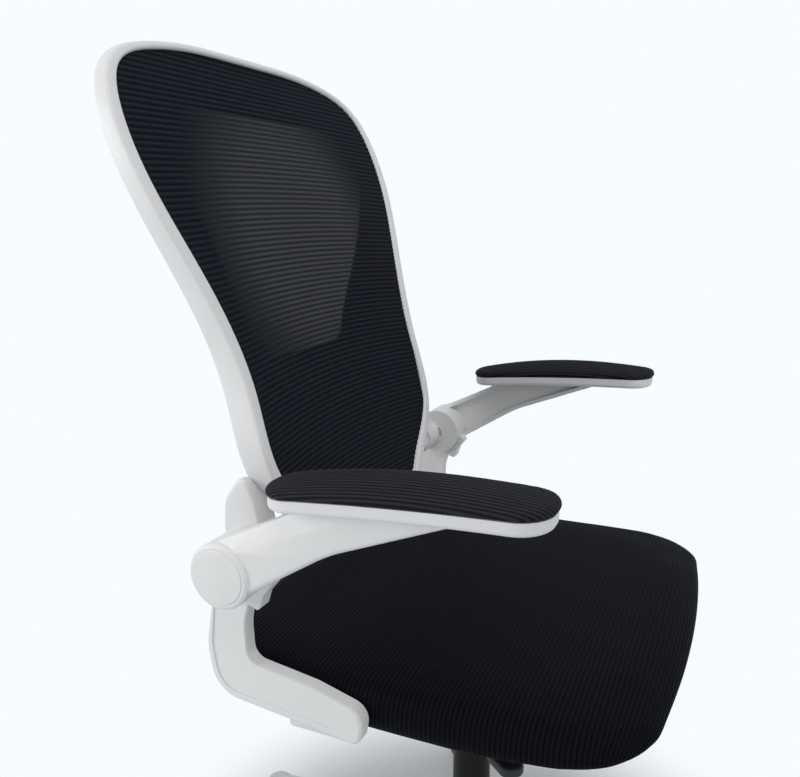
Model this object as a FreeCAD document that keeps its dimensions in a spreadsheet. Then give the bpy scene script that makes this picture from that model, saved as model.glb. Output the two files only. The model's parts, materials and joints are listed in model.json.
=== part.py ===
import FreeCAD, Part
import math
import os
import re
from types import SimpleNamespace

import Sketcher

# Ergonomic office chair: a five-star base on twin-wheel casters, a gas column, a tilting
# mechanism, an upholstered seat, a framed mesh back and two arms that flip up.
# Millimetres, +Z up. The sitter faces -Y, so +X is the sitter's left. The origin lies on
# the column's axis, on the floor.

V = FreeCAD.Vector
X_AXIS = V(1, 0, 0)
Y_AXIS = V(0, 1, 0)
Z_AXIS = V(0, 0, 1)

doc = FreeCAD.newDocument("office_chair")

# Driving dimensions
SIZES = {
    # Clearances
    "running_gap": 0.05,
    "seating_gap": 0.3,
    # Casters
    "leg_count": 5,
    "leg_turn": 15,
    "caster_circle": 290,
    "caster_height": 62,
    "caster_trail": 20,
    "caster_web_width": 15,
    "wheel_radius": 27.5,
    "wheel_width": 17,
    "wheel_side_gap": 0.6,
    "wheel_edge": 4,
    "wheel_dish": 3,
    "axle_radius": 3,
    "hood_gap": 2.2,
    "hood_wall": 2.6,
    "hood_skirt": 5,
    "pivot_radius": 4,
    "pivot_depth": 16,
    "collar_radius": 8.5,
    "collar_height": 2,
    "stem_radius": 5.5,
    "stem_length": 20,
    # Star base
    "leg_tip_width": 34,
    "leg_tip_height": 27,
    "leg_hub_width": 50,
    "leg_hub_height": 44,
    "leg_rise": 20,
    "leg_crown": 7,
    "leg_wall": 3.2,
    "socket_wall": 3.5,
    "hub_radius": 38,
    "hub_edge": 4,
    "hub_drop": 14,
    # Gas column
    "column_radius": 22.5,
    "column_wall": 2.2,
    "column_floor": 4,
    "column_taper": 1.2,
    "column_bottom": 50,
    "column_neck": 62,
    "bush_length": 40,
    "bearing_height": 8,
    "bearing_radius": 14,
    "cylinder_radius": 14,
    "cylinder_wall": 1.6,
    "cylinder_cap": 4,
    "cylinder_lift": 6,
    "rod_radius": 5,
    "piston_length": 14,
    "clip_radius": 8.5,
    "clip_height": 1.6,
    "clip_drop": 3,
    "button_radius": 4,
    "button_rise": 7,
    "button_depth": 10,
    "button_travel": 7,
    # Tilting mechanism
    "seat_level": 408,
    "mech_half_width": 50,
    "mech_wall": 3,
    "mech_depth": 70,
    "mech_front": 116,
    "mech_rear": 64,
    "cone_length": 38,
    "cone_taper": 0.8,
    "cone_drop": 8,
    "cone_top_gap": 2,
    "socket_thickness": 5,
    "tilt_forward": 60,
    "tilt_drop": 23,
    "tilt_pin_radius": 6,
    "plate_thickness": 3,
    "plate_half_width": 85,
    "plate_front": 120,
    "plate_rear": 95,
    "flange_height": 44,
    "plate_bolt_radius": 3,
    "plate_bolt_head": 6.5,
    "plate_bolt_grip": 9,
    "tension_forward": 95,
    "tension_drop": 27.6,
    "tension_bar_radius": 4.5,
    "tension_bolt_radius": 4,
    "knob_radius": 26,
    "knob_height": 44,
    "knob_wall": 4,
    "knob_floor": 6,
    "knob_room": 16,
    "knob_flutes": 12,
    "flute_radius": 3,
    "spring_radius": 14,
    "spring_wire_radius": 2.2,
    "spring_turns": 6,
    # Height lever
    "lever_pivot_offset": 40,
    "lever_bar_width": 12,
    "lever_bar_height": 6,
    "lever_rod_radius": 4,
    "lever_reach": 166,
    "lever_forward": 82,
    "lever_fall": 13,
    "lever_pin_radius": 2.5,
    "paddle_length": 62,
    "paddle_width": 30,
    "paddle_thickness": 11,
    # Seat
    "seat_half_width": 245,
    "seat_front": 251,
    "seat_rear": 222,
    "seat_front_bow": 11,
    "seat_front_corner": 72,
    "seat_rear_corner": 58,
    "seat_thickness": 54,
    "seat_skirt": 3,
    "seat_roll": 30,
    "seat_tuck": 14,
    "seat_dish": 7,
    "seat_nose": 1.9,
    "seat_nose_rise": 32,
    "board_half_width": 205,
    "board_front": 140,
    "board_rear": 175,
    "board_corner": 45,
    "board_thickness": 11,
    # Side brackets
    "bracket_room": 1.5,
    "bracket_thickness": 15.5,
    "bracket_hub_length": 26,
    "bracket_border": 7,
    "bracket_step": 1.2,
    "bracket_rear": 179,
    "bracket_tip": 15,
    "bracket_leg_width": 44,
    "bracket_bar_height": 40,
    "bracket_edge": 4,
    "foot_reach": 150,
    "foot_front": 30,
    "foot_rear": 94,
    "foot_thickness": 5.5,
    "foot_bend": 8,
    "bracket_bolt_radius": 4,
    "bracket_bolt_head": 8,
    "tongue_thickness": 13,
    "tongue_height": 65,
    "neck_radius": 20,
    "back_screw_radius": 3,
    "back_screw_head": 5,
    "back_screw_depth": 8,
    # Arms
    "arm_hub_y": 142,
    "arm_hub_height": 149,
    "arm_hub_radius": 31,
    "arm_hub_edge": 4,
    "arm_hub_proud": 3,
    "arm_cap_radius": 25.5,
    "arm_cap_depth": 3,
    "arm_cap_proud": 0.8,
    "arm_pin_radius": 7,
    "arm_pin_head": 13,
    "arm_pin_head_height": 7,
    "strut_room": 4,
    "strut_width": 21,
    "strut_length": 225,
    "strut_crease": 20,
    "strut_bevel": 0.4,
    "strut_rim": 5,
    "strut_channel": 11,
    "strut_edge": 5,
    "tray_outset": 7.5,
    "pad_half_width": 33,
    "tray_inset": 1.5,
    "pad_rear": 48,
    "pad_front": 294,
    "pad_end_radius": 30,
    "tray_thickness": 12,
    "tray_rise": 71.5,
    "tray_climb": 16.5,
    "tray_bow": 3,
    "tray_edge": 5,
    "pad_crown": 18,
    "pad_end_height": 8,
    "pad_side": 5.5,
    "pad_edge": 4,
    # Back
    "back_setback": 192.9,
    "back_lean": 0.3366,
    "back_profile_radius": 2160,
    "back_middle": 392,
    "back_top": 625,
    "back_crown_half": 159,
    "back_crown_drop": 8,
    "back_corner_half": 228,
    "back_corner_drop": 37,
    "back_shoulder_half": 245,
    "back_shoulder_drop": 97,
    "back_chest_half": 219,
    "back_chest": 425,
    "back_waist_half": 188,
    "back_waist": 290,
    "back_hip_half": 181,
    "back_hip": 206,
    "back_foot_half": 129,
    "back_foot": 151,
    "back_bottom": 119,
    "rim_width": 14,
    "rim_top_relief": 6.5,
    "rim_depth_top": 13,
    "rim_depth_bottom": 33,
    "rim_edge": 3.2,
    "lip_gap": 0.5,
    "shell_setback": 7,
    "shell_thickness": 2.6,
    "shell_bow_top": 4,
    "shell_bow_lumbar": 58,
    "shell_bow_bottom": 6,
    "mesh_setback": 2,
    "mesh_thickness": 2.4,
    "mesh_bow_top": 2,
    "mesh_bow_lumbar": 11,
    "mesh_bow_bottom": 4,
    "window_top_drop": 59,
    "window_top_half": 196,
    "window_shoulder_drop": 117,
    "window_shoulder_half": 200,
    "window_bottom": 300,
    "window_bottom_half": 88,
    "window_corner": 42,
}

sheet = doc.addObject("Spreadsheet::Sheet", "Sizes")
for row, (name, value) in enumerate(SIZES.items(), start=1):
    sheet.set(f"A{row}", name)
    sheet.set(f"B{row}", str(value))
    sheet.setAlias(f"B{row}", name)
doc.recompute()
s = SimpleNamespace(**{name: float(sheet.get(name)) for name in SIZES})

nodes = []


def bound(text):
    """An expression on the sheet, from one written in bare size names."""
    return re.sub(r"[a-z_]{2,}", r"Sizes.\g<0>", text)


def worth(text):
    """The number that such an expression gives."""
    return float(sheet.evalExpression(bound(text)))


def named(item, label):
    """Register a finished sub-part under its node name."""
    item.Label = label
    nodes.append(item)
    return item


def feature(label, shape):
    """A sub-part whose solid is worked out below from the sheet's sizes."""
    item = doc.addObject("Part::Feature", label)
    item.Shape = shape
    return named(item, label)


def mirrored(label, source):
    """The sitter's left twin of a piece on the sitter's right."""
    item = doc.addObject("Part::Mirroring", label)
    item.Source = source
    item.Normal = X_AXIS
    return named(item, label)


def origin_plane(body, role):
    return next(part for part in body.Origin.OriginFeatures if part.Role == role)


def profile_sketch(body, role, corners):
    """A closed sketch whose corners are each held by two expressions."""
    sketch = body.newObject("Sketcher::SketchObject", body.Name + "_profile")
    sketch.AttachmentSupport = [(origin_plane(body, role), "")]
    sketch.MapMode = "FlatFace"
    points = [V(worth(across), worth(up), 0) for across, up in corners]
    count = len(points)
    for index in range(count):
        sketch.addGeometry(Part.LineSegment(points[index], points[(index + 1) % count]), False)
    for index in range(count):
        sketch.addConstraint(Sketcher.Constraint("Coincident", index, 2, (index + 1) % count, 1))
    for index, (across, up) in enumerate(corners):
        hold_point(sketch, index, "DistanceX", -2, across, points[index].x)
        hold_point(sketch, index, "DistanceY", -1, up, points[index].y)
    return sketch


def hold_point(sketch, index, kind, axis, text, value):
    """Tie one coordinate of a sketch corner to its expression."""
    if text == "0":
        sketch.addConstraint(Sketcher.Constraint("PointOnObject", index, 1, axis))
        return
    if value > 0:
        number = sketch.addConstraint(Sketcher.Constraint(kind, -1, 1, index, 1, value))
        sketch.setExpression(f"Constraints[{number}]", bound(text))
    else:
        number = sketch.addConstraint(Sketcher.Constraint(kind, index, 1, -1, 1, -value))
        sketch.setExpression(f"Constraints[{number}]", bound(f"-({text})"))


def turned(label, corners):
    """A turned piece: a half profile (radius, height) spun about Z."""
    body = doc.addObject("PartDesign::Body", label)
    sketch = profile_sketch(body, "XZ_Plane", corners)
    spin = body.newObject("PartDesign::Revolution", label + "_spin")
    spin.Profile = sketch
    spin.ReferenceAxis = (sketch, ["V_Axis"])
    spin.Angle = 360
    return named(body, label)


def turned_shape(points):
    """The same, as a bare solid, for pieces that are copied or fused."""
    corners = [V(radius, 0, height) for radius, height in points]
    return Part.Face(Part.makePolygon(corners + corners[:1])).revolve(V(), Z_AXIS, 360)


def rod(radius, start, end):
    """A round bar between two points."""
    return Part.makeCylinder(radius, (end - start).Length, start, end - start)


def on_yz(x):
    return lambda across, up: V(x, across, up)


def on_xz(y):
    return lambda across, up: V(across, y, up)


def on_xy(z):
    return lambda across, up: V(across, up, z)


def rounded(corners, place):
    """A closed outline of straight runs; each corner (u, v, radius) is rounded by a tangent arc."""
    points = [V(across, up, 0) for across, up, radius in corners]
    turns = []
    for index, (across, up, radius) in enumerate(corners):
        here = points[index]
        back = (points[index - 1] - here).normalize()
        ahead = (points[(index + 1) % len(points)] - here).normalize()
        half = back.getAngle(ahead) / 2
        reach = radius / math.tan(half)
        inward = (back + ahead).normalize()
        middle = here + inward * (radius / math.sin(half) - radius)
        turns.append((here + back * reach, middle, here + ahead * reach, radius))
    edges = []
    for index, (start, middle, end, radius) in enumerate(turns):
        following = turns[(index + 1) % len(turns)][0]
        if radius > 0:
            arc = Part.Arc(place(start.x, start.y), place(middle.x, middle.y), place(end.x, end.y))
            edges.append(arc.toShape())
        if (following - end).Length > 1e-6:
            edges.append(Part.makeLine(place(end.x, end.y), place(following.x, following.y)))
    return Part.Wire(edges)


def solid_from(wire, sweep):
    """A flat outline pushed along a vector."""
    return Part.Face(wire).extrude(sweep)


def arc_edge(start, middle, end):
    return Part.Arc(start, middle, end).toShape()


def eased(shape, radius, wanted):
    """Round the edges that a test picks."""
    return shape.makeFillet(radius, [edge for edge in shape.Edges if wanted(edge)])


# Levels worked out from the driving dimensions
leg_seat = s.caster_height + s.collar_height
hub_floor = leg_seat + s.leg_rise - s.hub_drop
hub_top = leg_seat + s.leg_rise + s.leg_hub_height + s.hub_edge
mech_floor = s.seat_level - s.mech_depth
cone_floor = mech_floor - s.cone_drop
cylinder_top = cone_floor + s.cone_length + s.cone_top_gap
column_top = cone_floor - s.column_neck
tilt_y = -s.tilt_forward
tilt_z = s.seat_level - s.tilt_drop
hub_y = s.arm_hub_y
hub_z = s.seat_level + s.arm_hub_height
bracket_inner = s.seat_half_width + s.bracket_room
bracket_face = bracket_inner + s.bracket_thickness
strut_inner = bracket_face + s.strut_room
strut_outer = strut_inner + s.strut_width
arm_face = strut_outer + s.arm_hub_proud
arm_centre = bracket_face + s.tray_outset
back_shoulder = s.back_top - s.back_shoulder_drop
window_top = s.back_top - s.window_top_drop
window_shoulder = s.back_top - s.window_shoulder_drop

# Casters: a stem in each leg, a hood that swivels on it, an axle and two wheels
leg_angles = [math.radians(s.leg_turn + 360 / s.leg_count * index) for index in range(int(s.leg_count))]
stem_places = [V(math.cos(a), math.sin(a), 0) * s.caster_circle for a in leg_angles]
axle_centre = V(0, s.caster_trail, s.wheel_radius)
web_half = s.caster_web_width / 2
wheel_start = web_half + s.wheel_side_gap


def caster_stem():
    top = leg_seat + s.stem_length
    return turned_shape([
        (0, s.caster_height - s.pivot_depth),
        (s.pivot_radius, s.caster_height - s.pivot_depth),
        (s.pivot_radius, s.caster_height),
        (s.collar_radius, s.caster_height),
        (s.collar_radius, leg_seat),
        (s.stem_radius, leg_seat),
        (s.stem_radius, top),
        (0, top),
    ])


def across_axle(radius, half):
    """A drum about the axle."""
    return rod(radius, axle_centre - X_AXIS * half, axle_centre + X_AXIS * half)


def caster_hood():
    """A web between the wheels, a curved guard over them and a boss round the stem's pivot."""
    clear = s.wheel_radius + s.hood_gap
    outside = clear + s.hood_wall
    half = wheel_start + s.wheel_width
    guard = across_axle(outside, half).cut(across_axle(clear, half))
    crown = across_axle((clear + outside) / 2, web_half)
    upper = Part.makeBox(4 * outside, 4 * outside, 2 * outside)
    upper.translate(V(-2 * outside, -2 * outside, s.wheel_radius - s.hood_skirt))
    disc = across_axle(s.wheel_radius - s.wheel_edge, web_half)
    boss = rod(web_half, V(0, 0, s.wheel_radius), V(0, 0, s.caster_height - s.running_gap))
    hood = guard.fuse(crown).common(upper).fuse([disc, boss]).removeSplitter()
    hood = hood.cut(across_axle(s.axle_radius, half))
    pivot_floor = V(0, 0, s.caster_height - s.pivot_depth - s.running_gap)
    return hood.cut(rod(s.pivot_radius + s.running_gap, pivot_floor, V(0, 0, s.caster_height + 1)))


def caster_wheel(label, side):
    """A wheel with a rounded tread and a dished outer face; side is -1 or 1 along X."""
    body = turned(label, [
        ("axle_radius + running_gap", "0"),
        ("wheel_radius - wheel_edge / 3", "0"),
        ("wheel_radius", "wheel_edge / 3"),
        ("wheel_radius", "wheel_width - wheel_edge"),
        ("wheel_radius - wheel_edge / 3", "wheel_width - wheel_edge / 3"),
        ("wheel_radius - wheel_edge", "wheel_width"),
        ("wheel_radius * 0.6", "wheel_width"),
        ("wheel_radius * 0.5", "wheel_width - wheel_dish"),
        ("axle_radius * 2.4", "wheel_width - wheel_dish"),
        ("axle_radius * 2.2", "wheel_width - wheel_dish / 3"),
        ("axle_radius + running_gap", "wheel_width - wheel_dish / 3"),
    ])
    turn = FreeCAD.Rotation(Z_AXIS, X_AXIS * side)
    return body, FreeCAD.Placement(axle_centre + X_AXIS * side * wheel_start, turn)


feature("caster_stems", Part.makeCompound([caster_stem().translated(place) for place in stem_places]))
hood_shape = caster_hood()
axle_half = wheel_start + s.wheel_width - s.wheel_dish
for number, place in enumerate(stem_places, start=1):
    hood = feature(f"caster_hood_{number}", hood_shape)
    hood.Placement = FreeCAD.Placement(place, FreeCAD.Rotation())
    axle = doc.addObject("Part::Cylinder", f"caster_axle_{number}")
    axle.setExpression("Radius", bound("axle_radius"))
    axle.setExpression("Height", bound("caster_web_width + 2 * (wheel_side_gap + wheel_width - wheel_dish)"))
    axle.Placement = FreeCAD.Placement(
        place + axle_centre - X_AXIS * axle_half, FreeCAD.Rotation(Z_AXIS, X_AXIS))
    named(axle, f"caster_axle_{number}")
    for side, word in ((-1, "right"), (1, "left")):
        wheel, seat = caster_wheel(f"caster_wheel_{number}_{word}", side)
        wheel.Placement = FreeCAD.Placement(place + seat.Base, seat.Rotation)


# Star base: a hub on the column's taper and moulded legs, open below, with a socket for each stem
def leg_section(reach, width, floor, top, crown):
    """A leg's cross section: upright sides under a crowned top."""
    half = width / 2
    lower_left = V(reach, -half, floor)
    upper_left = V(reach, -half * 0.86, top - crown)
    upper_right = V(reach, half * 0.86, top - crown)
    lower_right = V(reach, half, floor)
    return Part.Wire([
        Part.makeLine(lower_left, upper_left),
        arc_edge(upper_left, V(reach, 0, top), upper_right),
        Part.makeLine(upper_right, lower_right),
        Part.makeLine(lower_right, lower_left),
    ])


def leg_loft(wall, sink):
    """The leg's outer form, or its hollow when a wall is taken off."""
    tip_floor = leg_seat - sink
    root_floor = leg_seat + s.leg_rise - sink
    sections = []
    for share in (0.08, 0.5, 1):
        reach = s.caster_circle * share
        width = s.leg_hub_width + (s.leg_tip_width - s.leg_hub_width) * share - 2 * wall
        floor = root_floor + (tip_floor - root_floor) * share ** 1.4
        height = s.leg_hub_height + (s.leg_tip_height - s.leg_hub_height) * share ** 0.8
        sections.append(leg_section(reach, width, floor, floor + sink + height - wall, s.leg_crown))
    return Part.makeLoft(sections, True, False)


def star_leg():
    tip = V(s.caster_circle, 0, 0)
    tip_top = leg_seat + s.leg_tip_height
    cap = s.leg_crown * 0.5
    end = rod(s.leg_tip_width / 2, tip + Z_AXIS * leg_seat, tip + Z_AXIS * (tip_top - cap))
    end = eased(end, cap, lambda edge: edge.BoundBox.ZMin > tip_top - cap - 1e-6)
    leg = leg_loft(0, 0).fuse(end)
    hollow_end = rod(s.leg_tip_width / 2 - s.leg_wall, tip + Z_AXIS * (leg_seat - 1),
                     tip + Z_AXIS * (tip_top - cap - s.leg_wall))
    leg = leg.cut(leg_loft(s.leg_wall, s.leg_wall)).cut(hollow_end)
    socket = rod(s.stem_radius + s.socket_wall, tip + Z_AXIS * leg_seat,
                 tip + Z_AXIS * (tip_top - cap - s.leg_wall / 2))
    root = V(s.hub_radius - s.leg_wall, -s.leg_wall / 2, leg_seat + s.leg_rise)
    rib_length = s.caster_circle - s.stem_radius - root.x
    rib = Part.makeBox(rib_length, s.leg_wall, s.leg_hub_height, root)
    rib = rib.common(leg_loft(s.leg_wall / 2, 0))
    leg = leg.fuse([socket, rib])
    return leg.cut(rod(s.stem_radius, tip + Z_AXIS * (leg_seat - 1), tip + Z_AXIS * (leg_seat + s.stem_length)))


def star_base():
    leg = star_leg()
    legs = []
    for angle in leg_angles:
        legs.append(leg.rotated(V(), Z_AXIS, math.degrees(angle)))
    hub = turned_shape([
        (0, hub_floor),
        (s.hub_radius, hub_floor),
        (s.hub_radius, hub_top - s.hub_edge),
        (s.hub_radius - s.hub_edge, hub_top),
        (0, hub_top),
    ])
    taper = Part.makeCone(s.column_radius - s.column_taper, s.column_radius, hub_top - hub_floor,
                          V(0, 0, hub_floor))
    return hub.fuse(legs).removeSplitter().cut(taper)


feature("base_star", star_base())

# Gas column: outer tube with its bush, the cylinder that slides in it, and the rod it slides on
hub_floor_text = "caster_height + collar_height + leg_rise - hub_drop"
hub_top_text = "caster_height + collar_height + leg_rise + leg_hub_height + hub_edge"
cone_floor_text = "seat_level - mech_depth - cone_drop"
column_top_text = cone_floor_text + " - column_neck"
cylinder_top_text = cone_floor_text + " + cone_length + cone_top_gap"
floor_text = "column_bottom + column_floor"
bearing_text = floor_text + " + bearing_height"
cylinder_floor_text = bearing_text + " + cylinder_lift"
cavity_top_text = cone_floor_text + " - cylinder_cap"
piston_top_text = cavity_top_text + " - cylinder_cap"
piston_floor_text = piston_top_text + " - piston_length"
bore_text = "cylinder_radius - cylinder_wall"
bush_text = "column_radius - column_wall"

turned("column_tube", [
    ("rod_radius + running_gap", "column_bottom"),
    ("column_radius - column_taper", "column_bottom"),
    ("column_radius - column_taper", hub_floor_text),
    ("column_radius", hub_top_text),
    ("column_radius", column_top_text),
    (bush_text, column_top_text),
    (bush_text, hub_top_text),
    ("column_radius - column_taper - column_wall", hub_floor_text),
    ("column_radius - column_taper - column_wall", floor_text),
    ("rod_radius + running_gap", floor_text),
])
turned("column_bush", [
    ("cylinder_radius + running_gap", column_top_text + " - bush_length"),
    (bush_text, column_top_text + " - bush_length"),
    (bush_text, column_top_text),
    ("column_radius - column_wall / 2", column_top_text),
    ("column_radius - column_wall / 2", column_top_text + " + column_wall"),
    ("cylinder_radius + running_gap", column_top_text + " + column_wall"),
])
turned("thrust_bearing", [
    ("rod_radius", floor_text),
    ("bearing_radius", floor_text),
    ("bearing_radius", floor_text + " + bearing_height * 0.3"),
    ("bearing_radius - bearing_height * 0.2", floor_text + " + bearing_height * 0.3"),
    ("bearing_radius - bearing_height * 0.2", floor_text + " + bearing_height * 0.7"),
    ("bearing_radius", floor_text + " + bearing_height * 0.7"),
    ("bearing_radius", bearing_text),
    ("rod_radius", bearing_text),
])
turned("gas_rod", [
    ("0", "column_bottom - clip_drop - clip_height"),
    ("rod_radius - 1", "column_bottom - clip_drop - clip_height"),
    ("rod_radius", "column_bottom - clip_drop - clip_height + 1"),
    ("rod_radius", piston_floor_text),
    ("0", piston_floor_text),
])
turned("rod_clip", [
    ("rod_radius", "column_bottom - clip_height"),
    ("clip_radius", "column_bottom - clip_height"),
    ("clip_radius", "column_bottom"),
    ("rod_radius", "column_bottom"),
])
turned("gas_piston", [
    ("0", piston_floor_text),
    (bore_text + " - running_gap", piston_floor_text),
    (bore_text + " - running_gap", piston_floor_text + " + piston_length * 0.35"),
    (bore_text + " - 1", piston_floor_text + " + piston_length * 0.35"),
    (bore_text + " - 1", piston_floor_text + " + piston_length * 0.65"),
    (bore_text + " - running_gap", piston_floor_text + " + piston_length * 0.65"),
    (bore_text + " - running_gap", piston_top_text),
    ("0", piston_top_text),
])
turned("gas_cylinder", [
    ("rod_radius + running_gap", cylinder_floor_text),
    ("cylinder_radius - 1", cylinder_floor_text),
    ("cylinder_radius", cylinder_floor_text + " + 1"),
    ("cylinder_radius", cone_floor_text),
    ("cylinder_radius - cone_taper", cone_floor_text + " + cone_length"),
    ("cylinder_radius - cone_taper", cylinder_top_text),
    ("button_radius + running_gap", cylinder_top_text),
    ("button_radius + running_gap", cylinder_top_text + " - button_depth - button_travel"),
    ("0", cylinder_top_text + " - button_depth - button_travel"),
    ("0", cavity_top_text),
    (bore_text, cavity_top_text),
    (bore_text, cylinder_floor_text + " + cylinder_cap"),
    ("rod_radius + running_gap", cylinder_floor_text + " + cylinder_cap"),
])
turned("release_button", [
    ("0", cylinder_top_text + " - button_depth"),
    ("button_radius", cylinder_top_text + " - button_depth"),
    ("button_radius", cylinder_top_text + " + button_rise - 1"),
    ("button_radius - 1", cylinder_top_text + " + button_rise"),
    ("0", cylinder_top_text + " + button_rise"),
])

# Tilting mechanism: a pressed housing on the cone, and a plate under the seat that hinges on it
tension_y = -s.tension_forward
tension_z = s.seat_level - s.tension_drop
flange_inner = s.mech_half_width + s.running_gap
flange_outer = flange_inner + s.mech_wall
lever_x = -s.lever_pivot_offset
lever_bottom = cylinder_top + s.button_rise + s.seating_gap
lever_z = lever_bottom + s.lever_bar_height / 2
knob_rim = mech_floor - s.knob_room
knob_base = knob_rim - s.knob_height


def housing_side(lower):
    """The housing seen from the side: low over the spring, high at the pin, falling to the rear."""
    return [
        (-s.mech_front + lower, mech_floor + lower, s.mech_wall),
        (s.mech_rear - lower, mech_floor + lower, s.mech_wall),
        (s.mech_rear - lower, mech_floor + 0.3 * s.mech_depth, 6),
        (-s.tilt_forward + 38, mech_floor + 0.55 * s.mech_depth, 10),
        (-s.tilt_forward + 15, tilt_z + s.tilt_pin_radius + 3, 6),
        (-s.tilt_forward - 13, tilt_z + s.tilt_pin_radius + 3, 6),
        (-s.tilt_forward - 19, mech_floor + 0.36 * s.mech_depth, 6),
        (-s.mech_front + lower, mech_floor + 0.3 * s.mech_depth, 6),
    ]


def mechanism_housing():
    half = s.mech_half_width
    outside = solid_from(rounded(housing_side(0), on_yz(-half)), X_AXIS * 2 * half)
    inner = half - s.mech_wall
    side = housing_side(s.mech_wall)
    open_top = s.seat_level
    room = [side[0], side[1], (side[1][0], open_top, 0), (side[0][0], open_top, 0)]
    inside = solid_from(rounded(room, on_yz(-inner)), X_AXIS * 2 * inner)
    housing = outside.cut(inside)
    sleeve_radius = s.cylinder_radius + s.socket_thickness
    sleeve = rod(sleeve_radius, V(0, 0, cone_floor), V(0, 0, cone_floor + s.cone_length))
    spring_seat = rod(s.spring_radius + s.spring_wire_radius + 3, V(0, tension_y, mech_floor),
                      V(0, tension_y, mech_floor + 2 * s.mech_wall))
    housing = housing.fuse([sleeve, spring_seat]).removeSplitter()
    cone = Part.makeCone(s.cylinder_radius, s.cylinder_radius - s.cone_taper, s.cone_length, V(0, 0, cone_floor))
    bolt_room = rod(s.tension_bolt_radius + 2, V(0, tension_y, mech_floor - 1),
                    V(0, tension_y, mech_floor + s.mech_depth))
    pin_hole = rod(s.tilt_pin_radius, V(-half - 1, tilt_y, tilt_z), V(half + 1, tilt_y, tilt_z))
    slot_low = lever_bottom - 4.5
    slot = Part.makeBox(half, s.lever_bar_width + 4, s.mech_depth,
                        V(-half - s.mech_wall, -s.lever_bar_width / 2 - 2, slot_low))
    return housing.cut([cone, bolt_room, pin_hole, slot]).fuse(lever_lugs()).removeSplitter()


def lever_lugs():
    """Two ears inside the housing that carry the lever's pin."""
    half = s.lever_bar_width / 2 + 0.5
    lugs = []
    for start in (-half - s.mech_wall, half):
        lug = Part.makeBox(12, s.mech_wall, lever_z + 5 - mech_floor - s.mech_wall / 2,
                           V(lever_x - 6, start, mech_floor + s.mech_wall / 2))
        lugs.append(lug)
    hole = rod(s.lever_pin_radius + s.running_gap, V(lever_x, -2 * half, lever_z), V(lever_x, 2 * half, lever_z))
    return [lug.cut(hole) for lug in lugs]


def mechanism_plate():
    """A flat plate with two side flanges that hang on the tilt pin and carry the tension bar."""
    low = s.seat_level - s.plate_thickness
    sheet_outline = [
        (-s.plate_half_width, -s.plate_front, 14),
        (s.plate_half_width, -s.plate_front, 14),
        (s.plate_half_width, s.plate_rear, 14),
        (-s.plate_half_width, s.plate_rear, 14),
    ]
    plate = solid_from(rounded(sheet_outline, on_xy(low)), Z_AXIS * s.plate_thickness)
    front = min(tilt_y, tension_y) - 14
    rear = max(tilt_y, tension_y) + 18
    side = [
        (front, s.seat_level, 0),
        (front, s.seat_level - s.flange_height, 10),
        (rear, s.seat_level - s.flange_height, 10),
        (rear + 14, s.seat_level, 0),
    ]
    flanges = []
    for start in (-flange_outer, flange_inner):
        flanges.append(solid_from(rounded(side, on_yz(start)), X_AXIS * s.mech_wall))
    plate = plate.fuse(flanges).removeSplitter()
    reach = X_AXIS * (flange_outer + 1)
    pin = V(0, tilt_y, tilt_z)
    bar = V(0, tension_y, tension_z)
    holes = [rod(s.tilt_pin_radius + s.running_gap, pin - reach, pin + reach),
             rod(s.tension_bar_radius + s.running_gap, bar - reach, bar + reach)]
    for spot in plate_bolt_spots():
        holes.append(rod(s.plate_bolt_radius + s.running_gap, spot - Z_AXIS * s.mech_depth, spot + Z_AXIS))
    return plate.cut(holes)


def plate_bolt_spots():
    inset = 16
    spots = []
    for x in (-s.plate_half_width + inset, s.plate_half_width - inset):
        for y in (-s.plate_front + inset, s.plate_rear - inset):
            spots.append(V(x, y, s.seat_level))
    return spots


def bolt_up(spot, under, radius, head, grip):
    """A bolt that points up: its head under a sheet, its end in the piece above."""
    head_height = radius * 1.2
    base = spot - Z_AXIS * (under + head_height)
    return rod(head, base, base + Z_AXIS * head_height).fuse(rod(radius, base, spot + Z_AXIS * grip))


feature("mechanism_housing", mechanism_housing())
feature("mechanism_plate", mechanism_plate())
feature("plate_bolts", Part.makeCompound([
    bolt_up(spot, s.plate_thickness, s.plate_bolt_radius, s.plate_bolt_head, s.plate_bolt_grip)
    for spot in plate_bolt_spots()]))

tilt_pin = doc.addObject("Part::Cylinder", "tilt_pin")
tilt_pin.setExpression("Radius", bound("tilt_pin_radius"))
tilt_pin.setExpression("Height", bound("2 * (mech_half_width + running_gap + 2 * mech_wall)"))
tilt_pin.Placement = FreeCAD.Placement(
    V(-flange_outer - s.mech_wall, tilt_y, tilt_z), FreeCAD.Rotation(Z_AXIS, X_AXIS))
named(tilt_pin, "tilt_pin")

# Tension adjuster: a T-shaped bolt hung from the plate, its knob, and the spring between knob and housing
bar_half = X_AXIS * flange_outer
bar_centre = V(0, tension_y, tension_z)
bolt_end = V(0, tension_y, knob_base - 2)
tension_bolt = rod(s.tension_bar_radius, bar_centre - bar_half, bar_centre + bar_half)
tension_bolt = tension_bolt.fuse(rod(s.tension_bolt_radius, bolt_end, bar_centre))
washer = rod(s.tension_bolt_radius * 2, bolt_end, bolt_end + Z_AXIS * (2 - s.running_gap))
feature("tension_bolt", tension_bolt.fuse(washer).removeSplitter())


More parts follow.
